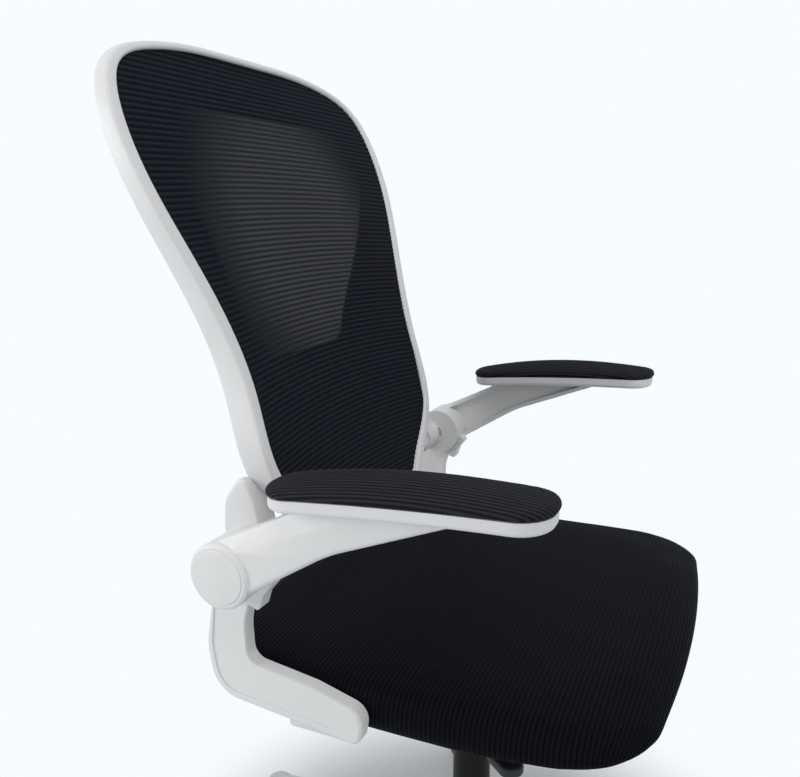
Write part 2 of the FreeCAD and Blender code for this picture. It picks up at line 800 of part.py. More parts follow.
def tension_knob():
    """A deep cup with finger flutes round it, open at the top for the spring."""
    cup = turned_shape([
        (s.tension_bolt_radius + s.running_gap, knob_base),
        (s.knob_radius - 3, knob_base),
        (s.knob_radius, knob_base + 3),
        (s.knob_radius - 2, knob_rim),
        (s.knob_radius - s.knob_wall, knob_rim),
        (s.knob_radius - s.knob_wall, knob_base + s.knob_floor),
        (s.tension_bolt_radius + s.running_gap, knob_base + s.knob_floor),
    ])
    flutes = []
    for index in range(int(s.knob_flutes)):
        angle = 2 * math.pi * index / s.knob_flutes
        spot = V(math.cos(angle), math.sin(angle), 0) * (s.knob_radius + s.flute_radius * 0.3)
        flutes.append(rod(s.flute_radius, spot + Z_AXIS * (knob_base - 1), spot + Z_AXIS * (knob_rim + 1)))
    knob = cup.cut(flutes)
    knob.translate(V(0, tension_y, 0))
    return knob


feature("tension_knob", tension_knob())


def spring_point(turn, low, pitch):
    angle = 2 * math.pi * turn
    return V(s.spring_radius * math.cos(angle), s.spring_radius * math.sin(angle), low + pitch * turn)


def tension_spring():
    """One unbroken wire, wound as biarcs of a half turn on a helix."""
    low = knob_base + s.knob_floor + s.spring_wire_radius + s.seating_gap
    high = mech_floor - s.spring_wire_radius - s.seating_gap
    pitch = (high - low) / s.spring_turns
    edges = []
    for index in range(int(s.spring_turns * 4)):
        start = spring_point(index / 4, low, pitch)
        middle = spring_point(index / 4 + 0.125, low, pitch)
        end = spring_point(index / 4 + 0.25, low, pitch)
        edges.append(arc_edge(start, middle, end))
    path = Part.Wire(edges)
    first = edges[0]
    heading = first.tangentAt(first.FirstParameter)
    circle = Part.Wire(Part.makeCircle(s.spring_wire_radius, edges[0].valueAt(first.FirstParameter), heading))
    spring = path.makePipeShell([circle], True, False)
    print("spring gap between turns", round(pitch - 2 * s.spring_wire_radius, 3))
    length = path.Length
    print("spring volume against wire", round(spring.Volume / (length * math.pi * s.spring_wire_radius ** 2), 4))
    spring.translate(V(0, tension_y, 0))
    return spring


feature("tension_spring", tension_spring())


# Height lever: a rocker on a pin in the housing, over the release button, with a paddle at its end
def lever_rod():
    half = s.lever_bar_width / 2
    bar_end = -s.mech_half_width - 14
    bar = Part.makeBox(s.button_radius + 4 - bar_end, 2 * half, s.lever_bar_height, V(bar_end, -half, lever_bottom))
    bar = bar.cut(rod(s.lever_pin_radius, V(lever_x, -half - 1, lever_z), V(lever_x, half + 1, lever_z)))
    pin_half = half + 0.5 + s.mech_wall
    pin = rod(s.lever_pin_radius, V(lever_x, -pin_half, lever_z), V(lever_x, pin_half, lever_z))
    start = V(bar_end + 6, 0, lever_z - 1)
    elbow = V(bar_end - 24, -12, lever_z - 4)
    end = V(-s.lever_reach, -s.lever_forward, lever_z - s.lever_fall)
    bends = [rod(s.lever_rod_radius, start, elbow), rod(s.lever_rod_radius, elbow, end),
             Part.makeSphere(s.lever_rod_radius, elbow)]
    return bar.fuse([pin] + bends).removeSplitter(), elbow, end


lever, lever_elbow, lever_end = lever_rod()
feature("lever_rod", lever)


def lever_paddle():
    """A rounded grip that slips over the end of the lever's rod."""
    half = s.paddle_width / 2
    outline = [
        (-10, -half * 0.45, 5),
        (s.paddle_length * 0.55, -half, 20),
        (s.paddle_length, -half * 0.7, 10),
        (s.paddle_length, half * 0.7, 10),
        (s.paddle_length * 0.55, half, 20),
        (-10, half * 0.45, 5),
    ]
    paddle = solid_from(rounded(outline, on_xy(-s.paddle_thickness / 2)), Z_AXIS * s.paddle_thickness)
    paddle = eased(paddle, s.paddle_thickness * 0.35, lambda edge: edge.BoundBox.ZLength < 1e-6)
    along = lever_end - lever_elbow
    turn = math.degrees(math.atan2(along.y, along.x))
    back = lever_end - along.normalize() * 26
    paddle = paddle.rotated(V(), Z_AXIS, turn).translated(back)
    return paddle.cut(lever)


feature("lever_paddle", lever_paddle())


# Seat: a board bolted to the plate, and a cushion whose skirt is drawn in round the board
def board_outline(grow, z):
    half = s.board_half_width + grow
    corner = s.board_corner + grow
    return rounded([
        (-half, -s.board_front - grow, corner),
        (half, -s.board_front - grow, corner),
        (half, s.board_rear + grow, corner),
        (-half, s.board_rear + grow, corner),
    ], on_xy(z))


def seat_board():
    board = solid_from(board_outline(0, s.seat_level), Z_AXIS * s.board_thickness)
    holes = []
    for spot in plate_bolt_spots():
        holes.append(rod(s.plate_bolt_radius + s.running_gap, spot - Z_AXIS, spot + Z_AXIS * s.board_thickness))
    for spot in bracket_bolt_spots():
        holes.append(rod(s.bracket_bolt_radius + s.running_gap, spot - Z_AXIS, spot + Z_AXIS * s.board_thickness))
    return board.cut(holes)


def bracket_bolt_spots():
    spots = []
    for side in (-1, 1):
        for y in (s.foot_front + 16, s.foot_rear - 16):
            spots.append(V(side * (s.foot_reach + 16), y, s.seat_level))
    return spots


def cushion_ring(inset, z):
    """The seat's plan outline at one height, drawn in by an inset."""
    half = s.seat_half_width - inset
    front = -s.seat_front + inset * s.seat_nose
    rear = s.seat_rear - inset
    near = s.seat_front_corner - 0.4 * inset
    far = s.seat_rear_corner - 0.4 * inset
    shoulder = front + s.seat_front_bow
    slant = math.sqrt(0.5)

    def corner(x, y, radius, side, ahead):
        centre = V(x - side * radius, y + ahead * radius, z)
        return centre + V(side * radius * slant, -ahead * radius * slant, 0)

    points = {
        "front_left": V(half - near, shoulder, z),
        "left_front": V(half, shoulder + near, z),
        "left_rear": V(half, rear - far, z),
        "rear_left": V(half - far, rear, z),
        "rear_right": V(-half + far, rear, z),
        "right_rear": V(-half, rear - far, z),
        "right_front": V(-half, shoulder + near, z),
        "front_right": V(-half + near, shoulder, z),
    }
    return Part.Wire([
        arc_edge(points["front_right"], V(0, front, z), points["front_left"]),
        arc_edge(points["front_left"], corner(half, shoulder, near, 1, 1), points["left_front"]),
        Part.makeLine(points["left_front"], points["left_rear"]),
        arc_edge(points["left_rear"], corner(half, rear, far, 1, -1), points["rear_left"]),
        Part.makeLine(points["rear_left"], points["rear_right"]),
        arc_edge(points["rear_right"], corner(-half, rear, far, -1, -1), points["right_rear"]),
        Part.makeLine(points["right_rear"], points["right_front"]),
        arc_edge(points["right_front"], corner(-half, shoulder, near, -1, 1), points["front_right"]),
    ])


def seat_cushion():
    """A crowned form with drawn-in sides, a dished top and a nose that rises off its underside."""
    low = s.seat_level - s.seat_skirt
    high = low + s.seat_thickness
    rolls = ((s.seat_tuck, 0), (s.seat_tuck * 0.25, 0.22), (0, 0.46), (s.seat_roll * 0.1, 0.7),
             (s.seat_roll * 0.42, 0.89), (s.seat_roll, 1))
    rings = [cushion_ring(inset, low + share * s.seat_thickness) for inset, share in rolls]
    crown = cushion_ring(s.seat_roll * 2.4, high + s.seat_thickness * 0.05)
    form = Part.makeLoft(rings + [crown], True, False)
    front = -s.seat_front - 5
    rear = s.seat_rear + 5
    nose_start = V(-s.seat_half_width - 5, 0.1 * s.seat_rear, low)
    nose_end = V(nose_start.x, front, low + s.seat_nose_rise + 10)
    halfway = V(nose_start.x, (nose_start.y + nose_end.y) / 2, low + (s.seat_nose_rise + 10) * 0.25)
    dish_y = 0.3 * s.seat_rear
    top_rear = V(nose_start.x, rear, high - 1)
    top_dish = V(nose_start.x, dish_y, high - s.seat_dish)
    top_front = V(nose_start.x, front, high + 4)
    side = Part.Wire([
        Part.makeLine(V(nose_start.x, rear, low), nose_start),
        arc_edge(nose_start, halfway, nose_end),
        Part.makeLine(nose_end, top_front),
        arc_edge(top_front, top_dish, top_rear),
        Part.makeLine(top_rear, V(nose_start.x, rear, low)),
    ])
    form = form.common(solid_from(side, X_AXIS * 2 * (s.seat_half_width + 5)))
    recess = solid_from(board_outline(s.seating_gap, low - 1),
                        Z_AXIS * (s.seat_skirt + 1 + s.board_thickness + s.seating_gap))
    return form.cut(recess)


feature("seat_board", seat_board())
feature("seat_cushion", seat_cushion())


# Back: a frame moulded to one side profile, a rear shell with a window, and the mesh in front of it
def lip_y(z):
    """Where the front lip of the frame lies at a height: a lean with a steady curve."""
    rise = z - s.seat_level - s.back_middle
    return s.back_setback + s.back_lean * rise + rise * rise / (2 * s.back_profile_radius)


def half_outline(points):
    """A smooth curve down the sitter's left half of an outline, level at the top and the bottom."""
    curve = Part.BSplineCurve()
    curve.interpolate(Points=points, InitialTangent=X_AXIS, FinalTangent=X_AXIS * -1)
    return curve


OUTLINE_STEPS = 24
lip_curve = half_outline([V(x, 0, s.seat_level + height) for x, height in (
    (0, s.back_top),
    (s.back_crown_half, s.back_top - s.back_crown_drop),
    (s.back_corner_half, s.back_top - s.back_corner_drop),
    (s.back_shoulder_half, back_shoulder),
    (s.back_chest_half, s.back_chest),
    (s.back_waist_half, s.back_waist),
    (s.back_hip_half, s.back_hip),
    (s.back_foot_half, s.back_foot),
    (0, s.back_bottom),
)])


def grown(distance):
    """Half of the lip's outline, moved outwards by a distance, less far where it faces up."""
    first = lip_curve.FirstParameter
    span = lip_curve.LastParameter - first
    points = []
    for step in range(OUTLINE_STEPS + 1):
        at = first + span * step / OUTLINE_STEPS
        outward = Y_AXIS.cross(lip_curve.tangent(at)[0]) * -1
        points.append(lip_curve.value(at) + outward * (distance - s.rim_top_relief * max(0, outward.z) ** 2))
    return half_outline(points)


back_near = -200
back_far = 500


def through(curve):
    """A front outline, half given and half mirrored, pushed right through the back from front to rear."""
    edge = curve.toShape()
    wire = Part.Wire([edge, edge.mirror(V(), X_AXIS)]).translated(V(0, back_near, 0))
    return solid_from(wire, Y_AXIS * (back_far - back_near))


def rim_depth(z):
    """The rim thins towards the top, ever faster."""
    share = (z - s.seat_level - s.back_bottom) / (s.back_top - s.back_bottom)
    return s.rim_depth_bottom + (s.rim_depth_top - s.rim_depth_bottom) * share * abs(share)


def side_band(front, rear):
    """The slab between two side profiles, given as distances behind the lip at a height."""
    low = s.seat_level + s.back_bottom - 4 * s.rim_width
    high = s.seat_level + s.back_top + 4 * s.rim_width
    heights = [low + (high - low) * share / 4 for share in range(5)]
    reach = s.back_shoulder_half + 4 * s.rim_width
    ahead = Part.BSplineCurve()
    ahead.interpolate([V(-reach, lip_y(z) + front(z), z) for z in heights])
    behind = Part.BSplineCurve()
    behind.interpolate([V(-reach, lip_y(z) + rear(z), z) for z in heights])
    wire = Part.Wire([
        ahead.toShape(),
        Part.makeLine(ahead.EndPoint, behind.EndPoint),
        behind.toShape(),
        Part.makeLine(behind.StartPoint, ahead.StartPoint),
    ])
    return solid_from(wire, X_AXIS * 2 * reach)


def back_frame():
    """A rim with rounded edges, into which the shell and the mesh fit."""
    rim = through(grown(s.rim_width)).cut(through(lip_curve))
    rim = rim.common(side_band(lambda z: 0, rim_depth))
    return eased(rim, s.rim_edge, is_rim_edge).cut([back_screw_hole(*axis) for axis in back_screw_axes()])


def is_rim_edge(edge):
    """True for the edges that run round the outside of the frame and round its front lip."""
    box = edge.BoundBox
    reach = max(box.XMax, -box.XMin)
    outside = reach > s.back_shoulder_half + s.rim_width / 2
    on_lip = abs(reach - s.back_shoulder_half) < s.rim_width / 3 and box.YMin < lip_y(box.ZMin) + s.rim_edge
    return outside or on_lip


def half_width_at(z):
    """The lip's half width at a height, held at the hip below it and at the corner above."""
    low = s.seat_level + s.back_hip
    high = s.seat_level + s.back_top - s.back_corner_drop
    level = min(max(z, low), high)
    points = lip_curve.toShape().discretize(400)
    return min(points, key=lambda point: abs(point.z - level)).x


def bowed_sheet(setback, thickness, bows):
    """A sheet that follows the lip at its sides and bows to the rear between them."""
    sections = []
    for height, bow in bows:
        z = s.seat_level + height
        half = half_width_at(z) + s.lip_gap
        y = lip_y(z) + setback
        ends = [V(-half, y, z), V(0, y + bow, z), V(half, y, z)]
        rear = Y_AXIS * thickness
        sections.append(Part.Wire([
            arc_edge(*ends),
            Part.makeLine(ends[2], ends[2] + rear),
            arc_edge(ends[2] + rear, ends[1] + rear, ends[0] + rear),
            Part.makeLine(ends[0] + rear, ends[0]),
        ]))
    return Part.makeLoft(sections, True, False)


def bow_stations(top, lumbar, bottom):
    """Heights and bows from the bottom rail, past the lumbar bulge, to the top rail."""
    return [
        (s.back_bottom - s.rim_width, bottom),
        (s.back_hip, (bottom + lumbar) / 2),
        (s.back_waist, lumbar),
        ((s.back_waist + s.back_chest) / 2, lumbar * 0.96),
        (s.back_chest, (top + lumbar) / 2),
        (back_shoulder, top * 1.2),
        (s.back_top + s.rim_width, top),
    ]


def shell_bows():
    return bow_stations(s.shell_bow_top, s.shell_bow_lumbar, s.shell_bow_bottom)


def window():
    """The large opening in the rear shell, narrowing towards the lumbar plate."""
    lift = s.seat_level
    corners = [
        (-s.window_top_half, lift + window_top, s.window_corner),
        (s.window_top_half, lift + window_top, s.window_corner),
        (s.window_shoulder_half, lift + window_shoulder, s.window_corner),
        (s.window_bottom_half, lift + s.window_bottom, s.window_corner * 0.8),
        (-s.window_bottom_half, lift + s.window_bottom, s.window_corner * 0.8),
        (-s.window_shoulder_half, lift + window_shoulder, s.window_corner),
    ]
    return solid_from(rounded(corners, on_xz(back_near)), Y_AXIS * (back_far - back_near))


def back_screw_axes():
    """Where each screw starts on the rim's inner wall and which way it points, the sitter's right first."""
    axes = []
    for side in (-1, 1):
        for share in (0.52, 0.78):
            level = hub_z + s.tongue_height * share
            at = lip_curve.parameter(V(half_width_at(level), 0, level))
            spot = lip_curve.value(at)
            outward = Y_AXIS.cross(lip_curve.tangent(at)[0]) * -1
            start = V(side * spot.x, lip_y(spot.z) + rim_depth(spot.z) * 0.8, spot.z)
            axes.append((start, V(side * outward.x, 0, outward.z)))
    return axes


back_screw_reach = s.rim_width + s.seating_gap + s.back_screw_depth


def back_screw_hole(start, outward):
    """The hole for a screw, through the rim and into the tongue."""
    return rod(s.back_screw_radius + s.running_gap, start - outward * s.rim_width, start + outward * back_screw_reach)


def back_screw(start, outward):
    """A screw that points outwards into the tongue, its head on the rim's inner wall."""
    under_head = start - outward * s.lip_gap
    shank = rod(s.back_screw_radius, under_head, start + outward * (back_screw_reach - s.running_gap))
    return shank.fuse(rod(s.back_screw_head, under_head - outward * s.back_screw_radius, under_head))


tongue_face = half_width_at(hub_z + s.tongue_height / 2) + s.rim_width + s.seating_gap + s.tongue_thickness
inner_curve = lip_curve.copy()
inner_curve.scale(V(0, 0, s.seat_level + s.back_middle), 1 - s.lip_gap / s.back_waist_half)
inside_lip = through(inner_curve)
feature("back_frame", back_frame())
shell = bowed_sheet(s.shell_setback, s.shell_thickness, shell_bows())
feature("back_shell", shell.common(inside_lip).cut(window()))
mesh = bowed_sheet(s.mesh_setback, s.mesh_thickness,
                   bow_stations(s.mesh_bow_top, s.mesh_bow_lumbar, s.mesh_bow_bottom))
feature("back_mesh", mesh.common(inside_lip))
feature("back_screws", Part.makeCompound([back_screw(*axis) for axis in back_screw_axes()]))


# Side brackets: a J-shaped moulding from under the seat, up round the arm's hub, to the back frame
def side_solid(corners, start, end):
    """A side outline (y, z, radius) given thickness on the sitter's right, between two distances out."""
    return solid_from(rounded(corners, on_yz(-end)), X_AXIS * (end - start))


def hub_drum(radius, start, end):
    """A drum about the arm's axis on the sitter's right."""
    return rod(radius, V(-end, hub_y, hub_z), V(-start, hub_y, hub_z))


foot_top = s.seat_level - s.seat_skirt - s.seating_gap
foot_low = foot_top - s.foot_thickness


def bracket_blade():
    """The J itself, seen from the side, with a raised border along its rear and lower edges."""
    level = s.seat_level
    heel = level + s.bracket_leg_width * 0.3
    bar_top = heel + s.bracket_bar_height
    leg_front = s.bracket_rear - s.bracket_leg_width
    blade = side_solid([
        (hub_y + 24, hub_z, 0),
        (s.bracket_rear + 2, level + 62, 60),
        (s.bracket_rear - 6, heel, 34),
        (s.bracket_tip + 4, level - 2, 8),
        (s.bracket_tip - 1, bar_top - 23, 17),
        (s.bracket_tip + 52, bar_top - 9, 60),
        (leg_front, bar_top, 15),
        (leg_front + 2, bar_top + 39, 60),
        (hub_y - 22, hub_z, 0),
    ], bracket_inner, bracket_face)
    blade = eased(blade, s.bracket_edge, lambda edge: edge.BoundBox.XMax < -bracket_face + 1e-3)
    border = s.bracket_border
    step = side_solid([
        (hub_y + 24, hub_z - border, 0),
        (s.bracket_rear + 2 - border, level + 62, 55),
        (s.bracket_rear - 6 - border, heel + border, 28),
        (s.bracket_tip + 5 * border, level - 2 + 1.6 * border, 0),
        (s.bracket_tip + 4 * border, bar_top + border, 0),
        (leg_front - border, hub_z, 0),
    ], bracket_face - s.bracket_step, bracket_face + s.bracket_step)
    return blade.cut(step)


def bracket_foot():
    """The blade's inward turn under the seat, with a pad under each bolt."""
    inner = bracket_inner
    outer = bracket_face - s.bracket_thickness * 0.45
    high = s.seat_level + 20
    outline = [
        (-outer, high, 0),
        (-outer, foot_low, s.foot_bend),
        (-s.foot_reach, foot_low, 3),
        (-s.foot_reach, foot_top, 1),
        (-inner, foot_top, 1),
        (-inner, high, 0),
    ]
    length = s.foot_rear - s.foot_front
    foot = solid_from(rounded(outline, on_xz(s.foot_front)), Y_AXIS * length)
    pads = []
    for spot in bracket_bolt_spots()[:2]:
        pads.append(rod(s.bracket_bolt_head + 3, V(spot.x, spot.y, foot_low), spot))
    return foot.fuse(pads)


def bracket_tongue():
    """The leaf at the upper end, which lies against the side of the back frame and takes its screws."""
    tongue = side_solid([
        (hub_y - 4, hub_z - 14, 8),
        (hub_y + 30, hub_z - 22, 10),
        (hub_y + 53, hub_z + 4, 14),
        (hub_y + 51, hub_z + 0.6 * s.tongue_height, 34),
        (hub_y + 29, hub_z + s.tongue_height + 3, 8),
        (hub_y + 13, hub_z + 0.56 * s.tongue_height, 40),
        (hub_y + 6, hub_z + 8, 20),
    ], tongue_face - 2 * s.tongue_thickness, tongue_face)
    tongue = eased(tongue, s.bracket_edge, lambda edge: edge.BoundBox.XMax < -tongue_face + 1e-3)
    middle = V(-tongue_face + s.tongue_thickness / 2, hub_y + 0.8 * s.neck_radius, hub_z - s.bracket_edge)
    neck = rod(s.neck_radius, V(-bracket_inner - s.bracket_thickness / 2, middle.y, middle.z), middle)
    return tongue.cut(through(grown(s.rim_width + s.seating_gap))).fuse(neck)


def bracket_stop():
    """The lug below the hub, against which the arm's own weight rests when it is down."""
    return side_solid([
        (hub_y - 6, hub_z - 18, 0),
        (hub_y - 12, hub_z - 36, 2),
        (hub_y - 23, hub_z - 40, 3),
        (hub_y - 28, hub_z - 24, 3),
        (hub_y - 38, hub_z - 12, 3),
        (hub_y - 20, hub_z + 4, 0),
    ], bracket_inner, bracket_face)


def bracket():
    hub_start = bracket_face - s.bracket_hub_length
    hub = hub_drum(s.arm_hub_radius, hub_start, bracket_face)
    pieces = [bracket_foot(), bracket_tongue(), bracket_stop(), hub]
    piece = bracket_blade().fuse(pieces).removeSplitter()
    holes = [hub_drum(s.arm_pin_radius + s.running_gap, hub_start - 1, bracket_face + 1)]
    for spot in bracket_bolt_spots()[:2]:
        holes.append(rod(s.bracket_bolt_radius + s.running_gap, spot - Z_AXIS * s.mech_depth, spot + Z_AXIS))
    for axis in back_screw_axes()[:2]:
        holes.append(back_screw_hole(*axis))
    return piece.cut(holes)


bracket_right = feature("bracket_right", bracket())
mirrored("bracket_left", bracket_right)
feature("bracket_bolts", Part.makeCompound([
    bolt_up(spot, s.seat_level - foot_low, s.bracket_bolt_radius, s.bracket_bolt_head, s.board_thickness - 2)
    for spot in bracket_bolt_spots()]))

# Arms: a strut on a hub that flips up, a tray on the strut and a soft pad in the tray
tray_rear = hub_y - s.pad_rear
tray_front = hub_y - s.pad_front
tray_middle = (tray_rear + tray_front) / 2


def tray_under(y):
    """Height of the tray's underside, which climbs to the front in a shallow arc."""
    share = (tray_rear - y) / (tray_rear - tray_front)
    return hub_z + s.tray_rise + s.tray_climb * share + 4 * s.tray_bow * share * (1 - share)


def arm_band(low, high, crown=0):
    """The slab between two heights above the tray's underside, over the width of one arm."""
    inner = arm_centre - s.pad_half_width - 1
    outer = arm_centre + s.pad_half_width + 1
    rear = tray_rear + 2
    front = tray_front - 2

    def at(y, lift):
        return V(-outer, y, tray_under(y) + lift)

    wire = Part.Wire([
        arc_edge(at(rear, low), at(tray_middle, low), at(front, low)),
        Part.makeLine(at(front, low), at(front, high)),
        arc_edge(at(front, high), at(tray_middle, high + crown), at(rear, high)),
        Part.makeLine(at(rear, high), at(rear, low)),
    ])
    return solid_from(wire, X_AXIS * (outer - inner))


def arm_plan(inset):
    """The tray's or the pad's outline from above, as an upright prism."""
    half = s.pad_half_width - inset
    radius = s.pad_end_radius - inset
    outline = [
        (-arm_centre - half, tray_front + inset, radius),
        (-arm_centre + half, tray_front + inset, radius),
        (-arm_centre + half, tray_rear - inset, radius),
        (-arm_centre - half, tray_rear - inset, radius),
    ]
    return solid_from(rounded(outline, on_xy(hub_z)), Z_AXIS * 4 * s.tray_rise)


def strut_wedge():
    """What is taken off the strut's outer top edge, so that a crease runs up its side."""
    along = V(0, -s.strut_length, 0.38 * s.strut_length)
    rise = V(0, along.z, -along.y).normalize() * s.arm_hub_radius
    crease = V(-strut_outer, hub_y, hub_z + s.strut_crease)
    lean = X_AXIS * s.strut_bevel * s.arm_hub_radius
    corners = [crease, crease + rise, crease + rise + lean, crease]
    return Part.Face(Part.makePolygon(corners)).extrude(along)


def arm_strut():
    """A channel-backed strut from the hub up to the tray."""
    outline = [
        (hub_y + 10, hub_z - 24, 0),
        (hub_y - 26, hub_z - 14, 14),
        (hub_y - 108, hub_z + 38, 160),
        (hub_y - s.strut_length, hub_z + s.tray_rise + 13, 10),
        (hub_y - s.strut_length, hub_z + s.tray_rise + 40, 0),
        (hub_y - 72, hub_z + s.tray_rise + 40, 0),
        (hub_y - 72, hub_z + s.tray_rise - 3.5, 4),
        (hub_y - 20, hub_z + 42, 60),
        (hub_y + 14, hub_z + 26, 0),
    ]
    strut = side_solid(outline, strut_inner, strut_outer)
    strut = eased(strut, s.strut_edge, lambda edge: edge.BoundBox.XMax < -strut_outer + 1e-3)
    strut = strut.cut([strut_wedge(), arm_band(-s.running_gap, 4 * s.tray_rise)])
    face = Part.Face(rounded(outline, on_yz(-strut_inner - s.strut_channel)))
    channel = face.makeOffset2D(-s.strut_rim).extrude(X_AXIS * (s.strut_channel + 1))
    channel = channel.cut(arm_band(-s.strut_rim, 4 * s.tray_rise))
    channel = channel.cut(hub_drum(s.arm_hub_radius, bracket_face, arm_face))
    hub = hub_drum(s.arm_hub_radius, bracket_face + s.seating_gap, arm_face)
    hub = eased(hub, s.arm_hub_edge, lambda edge: edge.BoundBox.XMax < -arm_face + 1e-3)
    strut = strut.cut(channel).fuse(hub).removeSplitter()
    cap_floor = arm_face - s.arm_cap_depth
    return strut.cut([
        hub_drum(s.arm_pin_radius + s.running_gap, bracket_face, arm_face),
        hub_drum(s.arm_pin_head + s.running_gap, cap_floor - s.arm_pin_head_height - s.running_gap, arm_face),
        hub_drum(s.arm_cap_radius, cap_floor, arm_face + 1),
    ])


def arm_pin():
    """The bolt on which the arm turns: its shank in the bracket, its head in the arm's hub."""
    cap_floor = arm_face - s.arm_cap_depth
    head_start = cap_floor - s.arm_pin_head_height
    shank = hub_drum(s.arm_pin_radius, bracket_face - s.bracket_hub_length, head_start)
    return shank.fuse(hub_drum(s.arm_pin_head, head_start, cap_floor - s.running_gap)).removeSplitter()


def arm_tray():
    """A shallow white tray with a rolled underside."""
    tray = arm_plan(s.tray_inset).common(arm_band(0, s.tray_thickness))
    middle = s.tray_thickness / 2

    def underneath(edge):
        spot = edge.CenterOfMass
        return spot.z - tray_under(spot.y) < middle - 1

    return eased(tray, s.tray_edge, underneath)


def pad_section(y):
    """The pad's section across, a little wider than the pad, with upright sides and an arched top."""
    share = (tray_rear - y) / (tray_rear - tray_front)
    crown = s.pad_end_height + (s.pad_crown - s.pad_end_height) * 4 * share * (1 - share)
    floor = tray_under(y)
    top = floor + s.tray_thickness + s.seating_gap + crown
    side = top - crown + s.pad_side
    outer = -arm_centre - s.pad_half_width - s.pad_edge
    inner = -arm_centre + s.pad_half_width + s.pad_edge
    return Part.Wire([
        Part.makeLine(V(outer, y, floor), V(inner, y, floor)),
        Part.makeLine(V(inner, y, floor), V(inner, y, side)),
        arc_edge(V(inner, y, side), V(-arm_centre, y, top), V(outer, y, side)),
        Part.makeLine(V(outer, y, side), V(outer, y, floor)),
    ])


def arm_pad():
    """A soft pad, domed both ways, with rolled edges, seated on the tray."""
    floor = s.tray_thickness + s.seating_gap
    length = tray_rear - tray_front + 2 * s.pad_edge
    stations = [tray_rear + s.pad_edge - length * share / 6 for share in range(7)]
    dome = Part.makeLoft([pad_section(y) for y in stations], True, False)
    pad = arm_plan(0).common(dome).common(arm_band(floor, floor + 3 * s.pad_crown))

    def on_top(edge):
        first = edge.Vertexes[0].Point
        last = edge.Vertexes[-1].Point
        upright = math.hypot(first.x - last.x, first.y - last.y) < s.seating_gap
        return not upright and edge.CenterOfMass.z - tray_under(edge.CenterOfMass.y) > floor + s.pad_side / 2

    return eased(pad, s.pad_edge, on_top)


def arm_cap():
    """The round cap that closes the arm's hub."""
    cap_floor = arm_face - s.arm_cap_depth
    cap = hub_drum(s.arm_cap_radius - s.running_gap, cap_floor, arm_face + s.arm_cap_proud)
    return eased(cap, s.arm_cap_proud, lambda edge: edge.BoundBox.XMax < -arm_face)


for word, solid in (("arm_strut", arm_strut()), ("arm_pin", arm_pin()), ("arm_tray", arm_tray()),
                    ("arm_pad", arm_pad()), ("arm_cap", arm_cap())):
    mirrored(word + "_left", feature(word + "_right", solid))

# Every piece has to come out whole before any of them is written
doc.recompute()
for item in doc.Objects:
    if "Invalid" in item.State or "Error" in item.State:
        raise RuntimeError(f"{item.Label} did not recompute: {item.State}")
for item in nodes:
    if item.Shape.isNull() or not item.Shape.isValid() or not item.Shape.Solids:
        raise RuntimeError(f"{item.Label} is not a valid solid")
os.makedirs("parts", exist_ok=True)
for item in nodes:
    item.Shape.exportStep(f"parts/{item.Label}.step")
print(len(nodes), "pieces written")
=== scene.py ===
# %% [markdown]
# An office chair has two kinds of surface. Its frame, arms and base are mouldings and pressings whose
# shape is fixed by their tools, so those solids come packed and stay as they are. Its seat, arm pads
# and back are cloth, and cloth is made here. This lesson loads the solids as a fixed frame, gives
# each moulding its finish, and then builds every soft piece on top of what carries it.

# %% Load the chair's solids
import json
import math

import bpy
import numpy as np
from mathutils import Matrix, Vector
from mathutils.bvhtree import BVHTree


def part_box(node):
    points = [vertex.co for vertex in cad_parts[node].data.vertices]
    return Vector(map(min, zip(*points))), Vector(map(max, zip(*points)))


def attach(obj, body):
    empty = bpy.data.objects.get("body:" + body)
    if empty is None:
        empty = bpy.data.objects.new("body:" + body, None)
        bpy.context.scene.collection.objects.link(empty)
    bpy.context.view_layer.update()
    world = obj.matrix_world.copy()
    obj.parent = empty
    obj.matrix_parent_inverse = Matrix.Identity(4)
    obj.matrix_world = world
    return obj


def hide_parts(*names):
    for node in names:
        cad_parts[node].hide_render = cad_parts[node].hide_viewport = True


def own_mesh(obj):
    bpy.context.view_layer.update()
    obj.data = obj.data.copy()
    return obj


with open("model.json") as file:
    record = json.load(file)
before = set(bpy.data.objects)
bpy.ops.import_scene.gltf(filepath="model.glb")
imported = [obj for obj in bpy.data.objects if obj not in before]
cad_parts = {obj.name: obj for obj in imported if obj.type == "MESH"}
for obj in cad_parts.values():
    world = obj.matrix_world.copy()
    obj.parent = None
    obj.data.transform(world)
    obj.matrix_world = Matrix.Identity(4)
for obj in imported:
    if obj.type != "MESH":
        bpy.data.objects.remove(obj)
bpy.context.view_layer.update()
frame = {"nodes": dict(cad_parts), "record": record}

nodes = frame["nodes"]
scene = bpy.context.scene

# %% [markdown]
# Shader trees and geometry trees are both built from nodes and links. Small helpers add a node, set
# its options and fill its inputs, either with a plain value or with a link from another node. They
# keep the cells below short, so that each reads like a list of what the finish is made of.

# %% Helpers that build node trees
def fill(tree, node, inputs):
    """Fill a node's inputs with plain values or with links from other nodes."""
    for key, value in inputs.items():
        if isinstance(value, bpy.types.NodeSocket):
            tree.links.new(value, node.inputs[key])
        else:
            node.inputs[key].default_value = value
    return node


def place(tree, kind, inputs=None, **options):
    """Add a node, set its options, then fill its inputs."""
    made = tree.nodes.new(kind)
    for name, value in options.items():
        setattr(made, name, value)
    return fill(tree, made, inputs or {})


